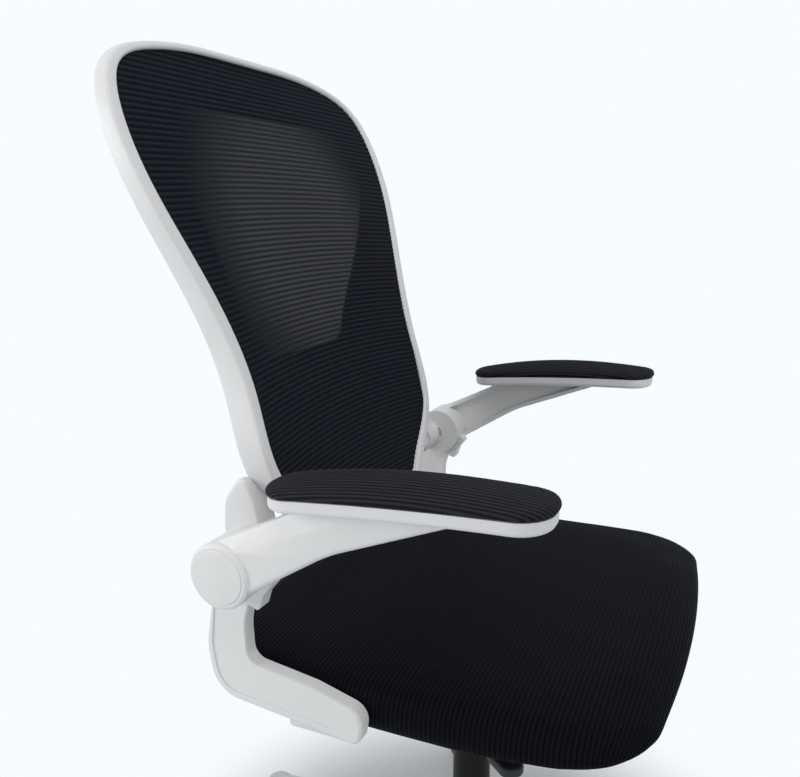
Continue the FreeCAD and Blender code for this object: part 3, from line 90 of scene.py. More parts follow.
def node_group(kind, name, inputs, outputs):
    """A group with named sockets: a number is an input's value, a word is a socket's kind."""
    tree = bpy.data.node_groups.new(name, kind)
    for way, sockets in (("INPUT", inputs), ("OUTPUT", outputs)):
        for label, value in sockets.items():
            word = value if isinstance(value, str) else "Float"
            socket = tree.interface.new_socket(label, in_out=way, socket_type="NodeSocket" + word)
            if not isinstance(value, str):
                socket.default_value = value
    return tree, tree.nodes.new("NodeGroupInput"), tree.nodes.new("NodeGroupOutput")


print("tree helpers ready")

# %% [markdown]
# A few steps come back in nearly every finish: arithmetic, a colour between two others, noise, a bump.
# Each gets a helper that gives the socket with its result, so that steps can be written inside one
# another like a formula. Positions are Object coordinates, in metres.

# %% Helpers for the steps that finishes share
def maths(tree, operation, *values):
    """One arithmetic step."""
    return place(tree, "ShaderNodeMath", dict(enumerate(values)), operation=operation).outputs[0]


def vectors(tree, operation, *values):
    """One step on vectors; gives both of its results."""
    inputs = dict(enumerate(values))
    return place(tree, "ShaderNodeVectorMath", inputs, operation=operation).outputs


def mixed(tree, share, first, second):
    """A colour between two linear RGB colours."""
    inputs = {0: share, 6: (*first, 1), 7: (*second, 1)}
    return place(tree, "ShaderNodeMix", inputs, data_type="RGBA").outputs[2]


def faded(tree, value, start, end, to=1.0):
    """A smooth step from 0 at start to a number at end."""
    inputs = {"Value": value, "From Min": start, "From Max": end, "To Max": to}
    return place(tree, "ShaderNodeMapRange", inputs, interpolation_type="SMOOTHSTEP").outputs[0]


def noise(tree, spot, scale, detail):
    inputs = {"Vector": spot, "Scale": scale, "Detail": detail}
    return place(tree, "ShaderNodeTexNoise", inputs).outputs[0]


def bumped(tree, height, strength, distance):
    """A normal nudged by a height."""
    inputs = {"Height": height, "Strength": strength, "Distance": distance}
    return place(tree, "ShaderNodeBump", inputs).outputs[0]


def object_spot(tree):
    return place(tree, "ShaderNodeTexCoord").outputs["Object"]


print("finish helpers ready")

# %% [markdown]
# A moulded part is never perfectly smooth. The tool is etched with a fine grain so that scratches
# don't show, and the colour drifts a little where the melt flowed. Both effects appear on every
# plastic and painted piece of the chair, so they are one shader group that each finish places with
# its own grain size. Object coordinates are in metres, so a grain of half a millimetre needs a
# noise scale of about two thousand.

# %% A shader group for etched grain and slow drift of tone
def build_moulded_skin():
    tree, given, result = node_group("ShaderNodeTree", "moulded_skin",
                                     {"Grain Scale": 1800.0, "Drift Scale": 7.0},
                                     {"Tone": "Float", "Height": "Float"})
    spot = object_spot(tree)
    fill(tree, result, {"Tone": noise(tree, spot, given.outputs["Drift Scale"], detail=3.0),
                        "Height": noise(tree, spot, given.outputs["Grain Scale"], detail=2.0)})
    return tree


moulded_skin = build_moulded_skin()
print("group:", moulded_skin.name, [item.name for item in moulded_skin.interface.items_tree])

# %% [markdown]
# With the group in hand, a hard finish is a Principled shader whose colour moves between two close
# tones with the drift, whose roughness follows the same drift, and whose normal is nudged by the
# grain. Values that are the same all over, such as metalness, are set on the shader's own sockets.

# %% A function that makes one hard finish
ROUGHNESS_SWING = 0.06


def new_finish(name):
    """A new material, with its node tree and its Principled shader."""
    material = bpy.data.materials.new(name)
    material.use_nodes = True
    return material, material.node_tree, material.node_tree.nodes["Principled BSDF"]


def hard_finish(name, dark, light, rough, grain_scale, grain_depth, metallic=0.0, specular=0.5):
    """A moulded, painted or plated surface; colours are linear RGB."""
    material, tree, surface = new_finish(name)
    skin = place(tree, "ShaderNodeGroup", {"Grain Scale": grain_scale}, node_tree=moulded_skin).outputs
    smoothest = rough - ROUGHNESS_SWING / 2
    fill(tree, surface, {
        "Base Color": mixed(tree, skin["Tone"], dark, light),
        "Roughness": maths(tree, "MULTIPLY_ADD", skin["Tone"], ROUGHNESS_SWING, smoothest),
        "Normal": bumped(tree, skin["Height"], strength=0.5, distance=grain_depth),
        "Metallic": metallic, "Specular IOR Level": specular})
    return material


HARD_FINISHES = {
    "white_plastic": dict(dark=(0.755, 0.757, 0.76), light=(0.80, 0.80, 0.80), rough=0.42,
                          grain_scale=1500, grain_depth=0.00004),
    "black_plastic": dict(dark=(0.014, 0.014, 0.016), light=(0.021, 0.021, 0.023), rough=0.5,
                          grain_scale=1500, grain_depth=0.0001, specular=0.3),
    "wheel_nylon": dict(dark=(0.028, 0.028, 0.03), light=(0.04, 0.04, 0.042), rough=0.36,
                        grain_scale=1200, grain_depth=0.00004),
    "black_steel": dict(dark=(0.006, 0.0056, 0.0052), light=(0.009, 0.0084, 0.008), rough=0.36,
                        grain_scale=2600, grain_depth=0.00008, specular=0.15),
    "chromed_steel": dict(dark=(0.66, 0.66, 0.67), light=(0.72, 0.72, 0.73), rough=0.1,
                          grain_scale=900, grain_depth=0.00001, metallic=1.0),
    "bright_steel": dict(dark=(0.48, 0.48, 0.49), light=(0.58, 0.58, 0.6), rough=0.3,
                         grain_scale=2200, grain_depth=0.00003, metallic=1.0),
}
finishes = {name: hard_finish(name, **values) for name, values in HARD_FINISHES.items()}
print("hard finishes:", sorted(finishes))

# %% [markdown]
# The seat board is plywood, but nobody sees its layers. A black dust cover of spun fibres is pulled
# round its edge and stapled down, so that is what shows from below. Rollers press such a cover with a
# fine grid of dots. Two crossed waves make the dots, and noise stands for the fibres.

# %% The dust cover of the seat board
DOT_PITCH = 0.003


def dust_cover_finish():
    material, tree, surface = new_finish("dust_cover")
    spot = object_spot(tree)
    along = place(tree, "ShaderNodeSeparateXYZ", {"Vector": spot}).outputs
    turns = 2 * math.pi / DOT_PITCH
    waves = [maths(tree, "SINE", maths(tree, "MULTIPLY", along[axis], turns)) for axis in "XY"]
    dots = maths(tree, "MULTIPLY", *waves)
    fibres = noise(tree, spot, scale=900.0, detail=4.0)
    fill(tree, surface, {
        "Base Color": mixed(tree, fibres, (0.006, 0.006, 0.007), (0.026, 0.026, 0.028)),
        "Normal": bumped(tree, maths(tree, "ADD", dots, fibres), strength=0.5, distance=0.0002),
        "Roughness": 0.85, "Specular IOR Level": 0.1})
    return material


finishes["plywood"] = dust_cover_finish()
print("dust cover:", finishes["plywood"].name)

# %% [markdown]
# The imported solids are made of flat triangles. A moulding's round edges should shade as round, while
# its real corners stay crisp. A short geometry tree does what a modeller does by hand: it joins the
# loose triangles, shades every face smooth, and then marks the edges that turn by more than a given
# angle as sharp. It stays on each solid as a modifier, so the solid itself isn't touched.

# %% A geometry tree that shades a solid smooth up to a given angle
def build_smooth_moulding():
    tree, given, result = node_group("GeometryNodeTree", "smooth_moulding",
                                     {"Solid": "Geometry", "Crease Angle": math.radians(32)},
                                     {"Solid": "Geometry"})
    joined = place(tree, "GeometryNodeMergeByDistance",
                   {"Geometry": given.outputs["Solid"], "Distance": 0.00001})
    smooth = place(tree, "GeometryNodeSetShadeSmooth",
                   {"Geometry": joined.outputs[0], "Shade Smooth": True}, domain="FACE")
    turn = place(tree, "GeometryNodeInputMeshEdgeAngle").outputs["Unsigned Angle"]
    sharp = place(tree, "FunctionNodeCompare", {"A": turn, "B": given.outputs["Crease Angle"]},
                  data_type="FLOAT", operation="GREATER_THAN")
    crisp = place(tree, "GeometryNodeSetShadeSmooth",
                  {"Geometry": smooth.outputs[0], "Selection": sharp.outputs[0], "Shade Smooth": False},
                  domain="EDGE")
    fill(tree, result, {"Solid": crisp.outputs[0]})
    return tree


def dress(piece, material):
    """Give a piece one material."""
    piece.data.materials.clear()
    piece.data.materials.append(material)


smooth_moulding = build_smooth_moulding()
slot_of = {part["node"]: part["material_slot"] for part in frame["record"]["subparts"]}
for name, solid in nodes.items():
    if slot_of[name] in finishes:
        dress(solid, finishes[slot_of[name]])
        solid.modifiers.new("smooth_moulding", "NODES").node_group = smooth_moulding
print("dressed solids:", sum(slot_of[name] in finishes for name in nodes))

# %% [markdown]
# All three cloths on the chair are ribbed: the seat across its width, the arm pads along their
# length, the back from side to side. A rib repeats along one direction only, so each soft mesh will
# carry a number called run, the distance travelled across the ribs in metres. The shader group below
# turns run into ribs, roughens them with fine threads, and gives a height for the bump.

# %% A shader group for ribbed cloth
def rib_wave(tree, run, pitch):
    """A wave between -1 and 1 with one crest for each rib."""
    turns = maths(tree, "DIVIDE", run, pitch)
    return maths(tree, "COSINE", maths(tree, "MULTIPLY", turns, 2 * math.pi))


def build_ribbed_cloth():
    tree, given, result = node_group("ShaderNodeTree", "ribbed_cloth",
                                     {"Run": 0.0, "Pitch": 0.0045, "Thread Scale": 1400.0},
                                     {"Rib": "Float", "Thread": "Float", "Height": "Float"})
    wave = rib_wave(tree, given.outputs["Run"], given.outputs["Pitch"])
    rib = maths(tree, "MULTIPLY_ADD", wave, 0.5, 0.5)
    thread = noise(tree, object_spot(tree), given.outputs["Thread Scale"], detail=1.0)
    height = maths(tree, "MULTIPLY_ADD", thread, 0.35, rib)
    fill(tree, result, {"Rib": rib, "Thread": thread, "Height": height})
    return tree


ribbed_cloth = build_ribbed_cloth()
print("group:", ribbed_cloth.name)

# %% [markdown]
# A cloth's colour lies between a dark valley and a lighter crest: this is painted shade in the rib
# valleys and painted light on the crests, mixed with a random tone of fine threads. Its sheen is low,
# because loose threads scatter light. The back is thin enough to see through where the shell behind it
# is open, so its valleys let a little light pass there: a soft oval, given by its middle, its half size
# and how open it is.

# %% The three cloths
def cloth_finish(name, shaded_valley, crest, pitch, depth, sheen, window=None):
    """Ribbed cloth with a sheen, painted darker in its rib valleys and lighter on its crests as shade
    and light; window is where it is thin: middle, half size and openness.
    """
    material, tree, surface = new_finish(name)
    run = place(tree, "ShaderNodeAttribute", attribute_name="run").outputs["Fac"]
    weave = place(tree, "ShaderNodeGroup", {"Run": run, "Pitch": pitch}, node_tree=ribbed_cloth).outputs
    # Painted light and shade: rib crests lighter, valleys darker, times the random tone of the threads.
    rib_light_and_thread_tone = maths(tree, "MULTIPLY", weave["Rib"], weave["Thread"])
    fill(tree, surface, {
        "Base Color": mixed(tree, maths(tree, "MULTIPLY", rib_light_and_thread_tone, 1.6), shaded_valley, crest),
        "Normal": bumped(tree, weave["Height"], strength=0.8, distance=depth),
        "Roughness": 0.65, "Specular IOR Level": sheen})
    if window:
        middle, half, openness = window
        apart = vectors(tree, "SUBTRACT", object_spot(tree), middle)[0]
        away = vectors(tree, "LENGTH", vectors(tree, "DIVIDE", apart, half)[0])["Value"]
        thin = faded(tree, away, start=1.0, end=0.45, to=openness)
        open_share = maths(tree, "MULTIPLY", maths(tree, "SUBTRACT", 1.0, weave["Rib"]), thin)
        fill(tree, surface, {"Alpha": maths(tree, "SUBTRACT", 1.0, open_share)})
    return material


SEAT_RIB_PITCH = 0.0045
PAD_RIB_PITCH = 0.0046
BACK_RIB_PITCH = 0.0054
BACK_WINDOW = ((0.0, 0.3, 0.85), (0.21, 1.0, 0.2), 0.045)
# On each cloth the valley colour is painted shade and the crest colour is painted light on the ribs.
seat_cloth = cloth_finish("seat_cloth", shaded_valley=(0.0015, 0.0016, 0.0024), crest=(0.0075, 0.0079, 0.011),
                          pitch=SEAT_RIB_PITCH, depth=0.0006, sheen=0.03)
pad_cloth = cloth_finish("pad_cloth", shaded_valley=(0.0085, 0.0085, 0.011), crest=(0.038, 0.038, 0.046),
                         pitch=PAD_RIB_PITCH, depth=0.0003, sheen=0.04)
back_cloth = cloth_finish("back_cloth", shaded_valley=(0.004, 0.0048, 0.0076), crest=(0.0205, 0.0225, 0.033),
                          pitch=BACK_RIB_PITCH, depth=0.0002, sheen=0.03, window=BACK_WINDOW)
print("cloths:", seat_cloth.name, pad_cloth.name, back_cloth.name)

# %% [markdown]
# Soft pieces are shaped by moving many points at once. Blender hands over all points of a mesh as one
# array, which is far quicker than visiting them one by one, and takes a changed array back. Modifiers
# help on the way, and baking turns what they show into plain mesh.

# %% Helpers for meshes
def vertex_vectors(mesh, field="co"):
    """One vector per vertex as an array: co for places, normal for normals."""
    found = np.zeros(len(mesh.vertices) * 3)
    mesh.vertices.foreach_get(field, found)
    return found.reshape(-1, 3)


def set_places(mesh, places):
    mesh.vertices.foreach_set("co", np.asarray(places, np.float32).ravel())
    mesh.update()


def edge_ends(mesh):
    """The vertex numbers at the first and the second end of every edge."""
    ends = np.zeros(len(mesh.edges) * 2, int)
    mesh.edges.foreach_get("vertices", ends)
    return ends[0::2], ends[1::2]


def set_run(piece, values):
    """Store the distance travelled across the ribs on every vertex."""
    run = piece.data.attributes.new("run", "FLOAT", "POINT")
    run.data.foreach_set("value", np.asarray(values, np.float32))


def new_piece(name, mesh):
    piece = bpy.data.objects.new(name, mesh)
    scene.collection.objects.link(piece)
    return piece


def baked(piece):
    """Turn a piece's modifiers into plain mesh."""
    evaluated = piece.evaluated_get(bpy.context.evaluated_depsgraph_get())
    mesh = bpy.data.meshes.new_from_object(evaluated)
    piece.modifiers.clear()
    piece.data = mesh
    return piece


def shade_smooth(piece):
    piece.data.polygons.foreach_set("use_smooth", [True] * len(piece.data.polygons))
    return piece


print("mesh helpers ready")

# %% [markdown]
# A cushion is foam in a sewn cover: the foam pushes out, the cover pulls back, and the result is a
# full form with soft edges. Cloth simulation gives just that, but it needs even quads, and the solid
# has long thin triangles. So a grid is dropped on the solid from above, another is raised to it from
# below, and rounds of quads join the two grids by rays sent outwards.

# %% An even quad mesh over a soft solid
UP = Vector((0, 0, 1))


def border_round(columns, rows):
    """The points of a grid's border, once round."""
    border = [(column, 0) for column in range(columns)]
    border += [(columns, row) for row in range(rows)]
    border += [(column, rows) for column in range(columns, 0, -1)]
    return border + [(0, row) for row in range(rows, 0, -1)]


def cover_faces(columns, rows, above, below, rings):
    """The quads of both grids and of the rounds between them."""
    faces = []
    for column in range(columns):
        for row in range(rows):
            corners = [(column, row), (column + 1, row), (column + 1, row + 1), (column, row + 1)]
            faces.append([above[corner] for corner in corners])
            faces.append([below[corner] for corner in reversed(corners)])
    for upper, lower in zip(rings, rings[1:]):
        for number in range(len(upper)):
            following = (number + 1) % len(upper)
            faces.append((upper[number], lower[number], lower[following], upper[following]))
    return faces


def soft_copy(node, name, inset, spacing, roundness=0.35):
    """An even quad mesh over a soft solid; the grids end an inset before its sides."""
    mesh = nodes[node].data
    solid = BVHTree.FromPolygons([vertex.co for vertex in mesh.vertices],
                                 [face.vertices for face in mesh.polygons])
    low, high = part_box(node)
    centre, half = (low + high) / 2, (high - low) / 2
    columns, rows = round(2 * half.x / spacing), round(2 * half.y / spacing)

    def spot(column, row):
        u, v = 2 * column / columns - 1, 2 * row / rows - 1
        x = (half.x - inset) * u * math.sqrt(1 - roundness * v * v / 2)
        y = (half.y - inset) * v * math.sqrt(1 - roundness * u * u / 2)
        return Vector((centre.x + x, centre.y + y, 0))

    places, above, below = [], {}, {}
    for key in [(column, row) for column in range(columns + 1) for row in range(rows + 1)]:
        above[key], below[key] = len(places), len(places) + 1
        places.append(solid.ray_cast(spot(*key) + UP * (high.z + spacing), -UP)[0])
        places.append(solid.ray_cast(spot(*key) + UP * (low.z - spacing), UP)[0])
    border = border_round(columns, rows)
    rounds = round(math.pi * inset / spacing)
    rings = [[above[key] for key in border]]
    for step in range(1, rounds):
        angle = math.pi * (0.5 - step / rounds)
        rings.append(range(len(places), len(places) + len(border)))
        for number, key in enumerate(border):
            along = spot(*border[(number + 1) % len(border)]) - spot(*border[number - 1])
            outward = Vector((along.y, -along.x, 0)).normalized()
            middle = (places[above[key]] + places[below[key]]) / 2
            ray = outward * math.cos(angle) + UP * math.sin(angle)
            places.append(solid.ray_cast(middle, ray)[0])
    rings.append([below[key] for key in border])
    made = bpy.data.meshes.new(name)
    made.from_pydata(places, [], cover_faces(columns, rows, above, below, rings))
    return new_piece(name, made)


print("quad cover ready")

# %% [markdown]
# The quad cover is then blown up gently, with gravity off. A real cover is cut to fit, so it has no
# wrinkles: the swelling is capped, spread evenly over neighbouring points, and kept to the faces that
# look up, so the cushion keeps its place between its neighbours. Easing rounds the edges off like
# pulled cloth, and one subdivision makes the form fine enough to look at closely.

# %% Filling and easing a cover
HELD_BELOW = -0.3


def spread(mesh, values, rounds):
    """Even out one number per vertex over its neighbours."""
    first, second = edge_ends(mesh)
    here, there = np.concatenate([first, second]), np.concatenate([second, first])
    neighbours = np.maximum(np.bincount(here, minlength=len(values)), 1)
    for _ in range(rounds):
        around = np.bincount(here, weights=values[there], minlength=len(values)) / neighbours
        values = (values + around) / 2
    return values


def puffed(piece, cap, pressure=4.0, frames=20, rounds=40):
    """Blow a piece up like a filled cover; points that face down are held."""
    rest = vertex_vectors(piece.data)
    normals = vertex_vectors(piece.data, "normal")
    held = piece.vertex_groups.new(name="held")
    held.add([int(index) for index in np.flatnonzero(normals[:, 2] < HELD_BELOW)], 1.0, "REPLACE")
    cloth = piece.modifiers.new("filling", "CLOTH")
    cloth.settings.quality = 4
    cloth.settings.use_pressure = True
    cloth.settings.uniform_pressure_force = pressure
    cloth.settings.effector_weights.gravity = 0
    cloth.settings.vertex_group_mass = "held"
    cloth.point_cache.frame_start = 1
    cloth.point_cache.frame_end = frames
    for number in range(1, frames + 1):
        scene.frame_set(number)
    moved = vertex_vectors(piece.evaluated_get(bpy.context.evaluated_depsgraph_get()).data)
    piece.modifiers.clear()
    scene.frame_set(1)
    swell = np.clip(np.sum((moved - rest) * normals, axis=1), 0, cap) * np.clip(normals[:, 2], 0, 1)
    set_places(piece.data, rest + normals * spread(piece.data, swell, rounds)[:, None])
    return piece


def relaxed(piece, rounds, levels, regain):
    """Round the edges off, give back what that takes off the form, then subdivide."""
    ease = piece.modifiers.new("ease", "SMOOTH")
    ease.factor = 0.5
    ease.iterations = rounds
    before = vertex_vectors(piece.data)
    baked(piece)
    normals = vertex_vectors(piece.data, "normal")
    after = vertex_vectors(piece.data)
    lost = np.clip(np.sum((before - after) * normals, axis=1), 0, regain)
    set_places(piece.data, after + normals * spread(piece.data, lost, rounds)[:, None])
    finer = piece.modifiers.new("finer", "SUBSURF")
    finer.levels = levels
    finer.render_levels = levels
    return shade_smooth(baked(piece))


print("filling helpers ready")

# %% [markdown]
# The seat's ribs run from side to side and down both flanks, so run is simply the distance along Y,
# until the nose turns down: there the cloth goes on over the edge, and run goes on with the fall in
# height. A smooth step between the two keeps the ribs whole round the corner.

# %% The seat cushion
NOSE_START = 0.07
NOSE_END = 0.015


def smooth_step(values, start, end):
    share = np.clip((values - start) / (end - start), 0, 1)
    return share * share * (3 - 2 * share)


def seat_run(places, low, high):
    """Distance across the seat's ribs: along Y on top, then down the nose."""
    over_nose = smooth_step(places[:, 1], low.y + NOSE_START, low.y + NOSE_END)
    return places[:, 1] - over_nose * np.maximum(0, high.z - places[:, 2])


seat_low, seat_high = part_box("seat_cushion")
seat = soft_copy("seat_cushion", "seat_upholstery", inset=0.03, spacing=0.006)
puffed(seat, cap=0.004)
relaxed(seat, rounds=6, levels=1, regain=0.003)
set_run(seat, seat_run(vertex_vectors(seat.data), seat_low, seat_high))
dress(seat, seat_cloth)
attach(seat, "seat")
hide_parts("seat_cushion")
print("seat:", len(seat.data.polygons), "faces")

# %% [markdown]
# The ribs of the arm pads and the back are wide enough to catch the light, so they are raised in the
# mesh itself by a geometry tree: every point moves along its normal by a wave of the distance across
# the ribs. The same tree serves any ribbed cloth. A modifier knows a tree's inputs by identifiers, so
# one helper looks these up by name, runs the tree and keeps its result as plain mesh.

# %% A geometry tree that raises ribs on a cloth
def end_tree(tree, given, result, geometry):
    """End a tree: instances become real, then take the given material."""
    real = place(tree, "GeometryNodeRealizeInstances", {"Geometry": geometry})
    dressed = place(tree, "GeometryNodeSetMaterial",
                    {"Geometry": real.outputs[0], "Material": given.outputs["Material"]})
    fill(tree, result, {0: dressed.outputs[0]})
    return tree


def build_raise_ribs():
    tree, given, result = node_group(
        "GeometryNodeTree", "raise_ribs",
        {"Cloth": "Geometry", "Pitch": 0.0046, "Height": 0.0004, "Material": "Material"},
        {"Cloth": "Geometry"})
    run = place(tree, "GeometryNodeInputNamedAttribute", {"Name": "run"}, data_type="FLOAT")
    wave = rib_wave(tree, run.outputs["Attribute"], given.outputs["Pitch"])
    rise = maths(tree, "MULTIPLY", maths(tree, "MULTIPLY", wave, given.outputs["Height"]), 0.5)
    normal = place(tree, "GeometryNodeInputNormal").outputs[0]
    offset = place(tree, "ShaderNodeVectorMath", {0: normal, "Scale": rise}, operation="SCALE")
    raised = place(tree, "GeometryNodeSetPosition",
                   {"Geometry": given.outputs["Cloth"], "Offset": offset.outputs[0]})
    return end_tree(tree, given, result, raised.outputs[0])


def shaped(piece, tree, wanted):
    """Run a tree on a piece with the wanted inputs and keep the result as plain mesh."""
    modifier = piece.modifiers.new(tree.name, "NODES")
    modifier.node_group = tree
    for socket in tree.interface.items_tree:
        if socket.in_out == "INPUT" and socket.name in wanted:
            modifier[socket.identifier] = wanted[socket.name]
    return shade_smooth(baked(piece))


raise_ribs = build_raise_ribs()
print("tree:", raise_ribs.name)

# %% [markdown]
# Each arm pad is a smaller cushion with ribs along its length. Across the dome, run is the distance
# from the middle line. On the flanks it also grows with the fall from the crest, so that the ribs keep
# their width where the cover turns down. The crest's height is found slice by slice along the pad.

# %% The arm pads
PAD_RIB_HEIGHT = 0.0005
PAD_SLICES = 60


def pad_run(places, middle):
    """Distance across the pad's ribs: along X over the dome, and down its flanks."""
    along = np.linspace(places[:, 1].min(), places[:, 1].max(), PAD_SLICES)
    slice_of = np.clip(np.digitize(places[:, 1], along) - 1, 0, PAD_SLICES - 2)
    crests = np.array([places[slice_of == number, 2].max() for number in range(PAD_SLICES - 1)])
    crest = np.interp(places[:, 1], (along[1:] + along[:-1]) / 2, crests)
    across = places[:, 0] - middle
    return across + np.sign(across) * np.maximum(0, crest - places[:, 2])


for side in ("right", "left"):
    node = f"arm_pad_{side}"
    low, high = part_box(node)
    pad = soft_copy(node, f"arm_pad_cover_{side}", inset=0.012, spacing=0.0025)
    puffed(pad, cap=0.002)
    relaxed(pad, rounds=4, levels=1, regain=0.001)
    set_run(pad, pad_run(vertex_vectors(pad.data), (low.x + high.x) / 2))
    shaped(pad, raise_ribs, {"Pitch": PAD_RIB_PITCH, "Height": PAD_RIB_HEIGHT, "Material": pad_cloth})
    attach(pad, f"arm_{side}")
    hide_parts(node)
    print("pad:", side, len(pad.data.polygons), "faces")

# %% [markdown]
# The back is a stretch cloth pulled over the frame. It follows the solid sheet that holds its place
# in the frame, but that sheet is faceted, so a smooth polynomial is fitted through the sheet's points
# and the cloth lies on that. The sheet's outline is read off as a half width for many heights.

# %% The back cloth's surface and outline
OUTLINE_STEPS = 240
OUTLINE_MARGIN = 0.0002
LEVEL = 1e-9
sheet = nodes["back_mesh"].data
sheet_places = vertex_vectors(sheet)
edge_starts, edge_stops = (sheet_places[ends] for ends in edge_ends(sheet))
back_low, back_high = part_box("back_mesh")
back_middle = (back_low.z + back_high.z) / 2
back_half = (back_high.z - back_low.z) / 2


def surface_terms(x, z):
    """The terms of the fitted surface: even in x, because the back is symmetric."""
    up = (np.asarray(z) - back_middle) / back_half
    out = (np.asarray(x) / back_half) ** 2
    powers = [up ** power for power in range(6)]
    bowed = [out * power for power in powers] + [out * out * power for power in powers[:4]]
    return np.stack(powers + bowed, -1)


sheet_terms = surface_terms(sheet_places[:, 0], sheet_places[:, 2])
surface_fit = np.linalg.lstsq(sheet_terms, sheet_places[:, 1], rcond=None)[0]
misfit = sheet_terms @ surface_fit - sheet_places[:, 1]
print("back surface, largest misfit in mm:", round(float(np.abs(misfit).max()) * 1000, 2))


def outline_half_width(z):
    """Half width of the sheet at a height, from the outermost of its edges there."""
    crossing = (edge_starts[:, 2] - z) * (edge_stops[:, 2] - z) <= 0
    if not crossing.any():
        return 0.0
    first, second = edge_starts[crossing], edge_stops[crossing]
    fall = second[:, 2] - first[:, 2]
    level = np.abs(fall) <= LEVEL
    share = np.where(level, 0, (z - first[:, 2]) / np.where(level, 1, fall))
    return float(np.abs(first[:, 0] + share * (second[:, 0] - first[:, 0])).max())


heights = np.linspace(back_low.z + OUTLINE_MARGIN, back_high.z - OUTLINE_MARGIN, OUTLINE_STEPS)
half_widths = np.array([outline_half_width(z) for z in heights])
widest = float(half_widths.max())
print("outline: widest", round(widest * 2, 3), "m")

# %% [markdown]
# The back's ribs aren't level: pulled from both sides, they arch in the middle, most of all near the
# seat. Each row of the new mesh follows one such arch, and ends where the arch meets the sheet's
# outline. The frame's groove hides the cloth's edge, so the cloth reaches a little way into it.

# %% The back cloth
RIB_ARCH_LOW = 0.015
RIB_ARCH_HIGH = 0.0
ARCH_POWER = 1.5
ROWS_PER_RIB = 6
ROW_MARGIN = 0.0003
BACK_COLUMNS = 64
BACK_RIB_HEIGHT = 0.0009
CLOTH_TUCK = 0.0013
HALVINGS = 40
tuck_across = 1 + CLOTH_TUCK / widest
tuck_up = 1 + CLOTH_TUCK / back_half


def rib_height(crown, x):
    """Height of a rib at a distance from the middle; it falls from its crown to the sides."""
    share = (crown - back_low.z) / (back_high.z - back_low.z)
    arch = RIB_ARCH_LOW + (RIB_ARCH_HIGH - RIB_ARCH_LOW) * share ** ARCH_POWER
    return crown - arch * (x / widest) ** 2


def row_half_width(crown):
    """Where the arch leaves the outline, by halving the interval."""
    near, far = 0.0, widest
    for _ in range(HALVINGS):
        middle = (near + far) / 2
        z = rib_height(crown, middle)
        inside = heights[0] <= z <= heights[-1] and middle <= np.interp(z, heights, half_widths)
        near, far = (middle, far) if inside else (near, middle)
    return near


row_count = int((heights[-1] - heights[0]) / BACK_RIB_PITCH * ROWS_PER_RIB)
crowns = np.linspace(heights[0] + ROW_MARGIN, heights[-1] - ROW_MARGIN, row_count)
stride = BACK_COLUMNS + 1
places = []
for crown in crowns:
    x = np.linspace(-1, 1, stride) * row_half_width(crown)
    z = rib_height(crown, x)
    x, z = x * tuck_across, back_middle + (z - back_middle) * tuck_up
    places.append(np.stack([x, surface_terms(x, z) @ surface_fit, z], -1))
faces = [[row * stride + column + corner for corner in (0, 1, stride + 1, stride)]
         for row in range(row_count - 1) for column in range(BACK_COLUMNS)]
back_data = bpy.data.meshes.new("back_cloth")
back_data.from_pydata(np.concatenate(places).tolist(), [], faces)
back = new_piece("back_cloth", back_data)
set_run(back, np.repeat(crowns, stride))
shaped(back, raise_ribs, {"Pitch": BACK_RIB_PITCH, "Height": BACK_RIB_HEIGHT, "Material": back_cloth})
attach(back, "seat")
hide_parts("back_mesh")

# %% [markdown]
# Under the seat, inside the knob, a coil spring holds the tilt back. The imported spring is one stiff
# solid, and a spring has to shorten, so it is wound again here by a geometry tree: a spiral swept with
# a round wire. The tree takes the number of turns and the sizes, so the same tree winds any spring.

# %% A geometry tree that winds a spring
def build_coil_spring():
    tree, given, result = node_group(
        "GeometryNodeTree", "coil_spring",
        {"Spring": "Geometry", "Turns": 6.0, "Coil Radius": 0.014, "Wire Radius": 0.0022,
         "Height": 0.05, "Foot": "Vector", "Material": "Material"},
        {"Spring": "Geometry"})
    coil_radius = given.outputs["Coil Radius"]
    spiral = place(tree, "GeometryNodeCurveSpiral", {
        "Resolution": 32, "Rotations": given.outputs["Turns"], "Start Radius": coil_radius,
        "End Radius": coil_radius, "Height": given.outputs["Height"]})
    wire = place(tree, "GeometryNodeCurvePrimitiveCircle",
                 {"Resolution": 12, "Radius": given.outputs["Wire Radius"]})
    swept = place(tree, "GeometryNodeCurveToMesh", {
        "Curve": spiral.outputs[0], "Profile Curve": wire.outputs[0], "Fill Caps": True})
    stood = place(tree, "GeometryNodeTransform",
                  {"Geometry": swept.outputs[0], "Translation": given.outputs["Foot"]})
    return end_tree(tree, given, result, stood.outputs[0])


coil_spring = build_coil_spring()
print("tree:", coil_spring.name)

# %% [markdown]
# Leaning back pulls the knob up, and the spring shortens. Here the wound spring keeps its full
# length: it rides with the lift in place of the imported spring, with a mesh of its own.

# %% The tension spring
SPRING_TURNS = 6.0
WIRE_RADIUS = 0.0022
spring_low, spring_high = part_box("tension_spring")
spring_axis = (spring_low + spring_high) / 2
spring = new_piece("coil_spring", bpy.data.meshes.new("coil_spring"))
shaped(spring, coil_spring, {
    "Turns": SPRING_TURNS, "Wire Radius": WIRE_RADIUS,
    "Coil Radius": (spring_high.x - spring_low.x) / 2 - WIRE_RADIUS,
    "Height": spring_high.z - spring_low.z - 2 * WIRE_RADIUS,
    "Foot": (spring_axis.x, spring_axis.y, spring_low.z + WIRE_RADIUS),
    "Material": finishes["bright_steel"]})
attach(spring, "lift")
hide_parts("tension_spring")
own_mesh(spring)

# %% [markdown]
# The portrait was taken from the sitter's right, a little above the arms, with the seat's front
# corner towards the lens. A camera with a 36 mm lens on a 36 mm sensor stands there.

# %% The camera
CAMERA_PLACE = Vector((-0.8173, -0.2704, 0.8710))
CAMERA_AIM = Vector((0.8911, 0.3995, -0.2154))

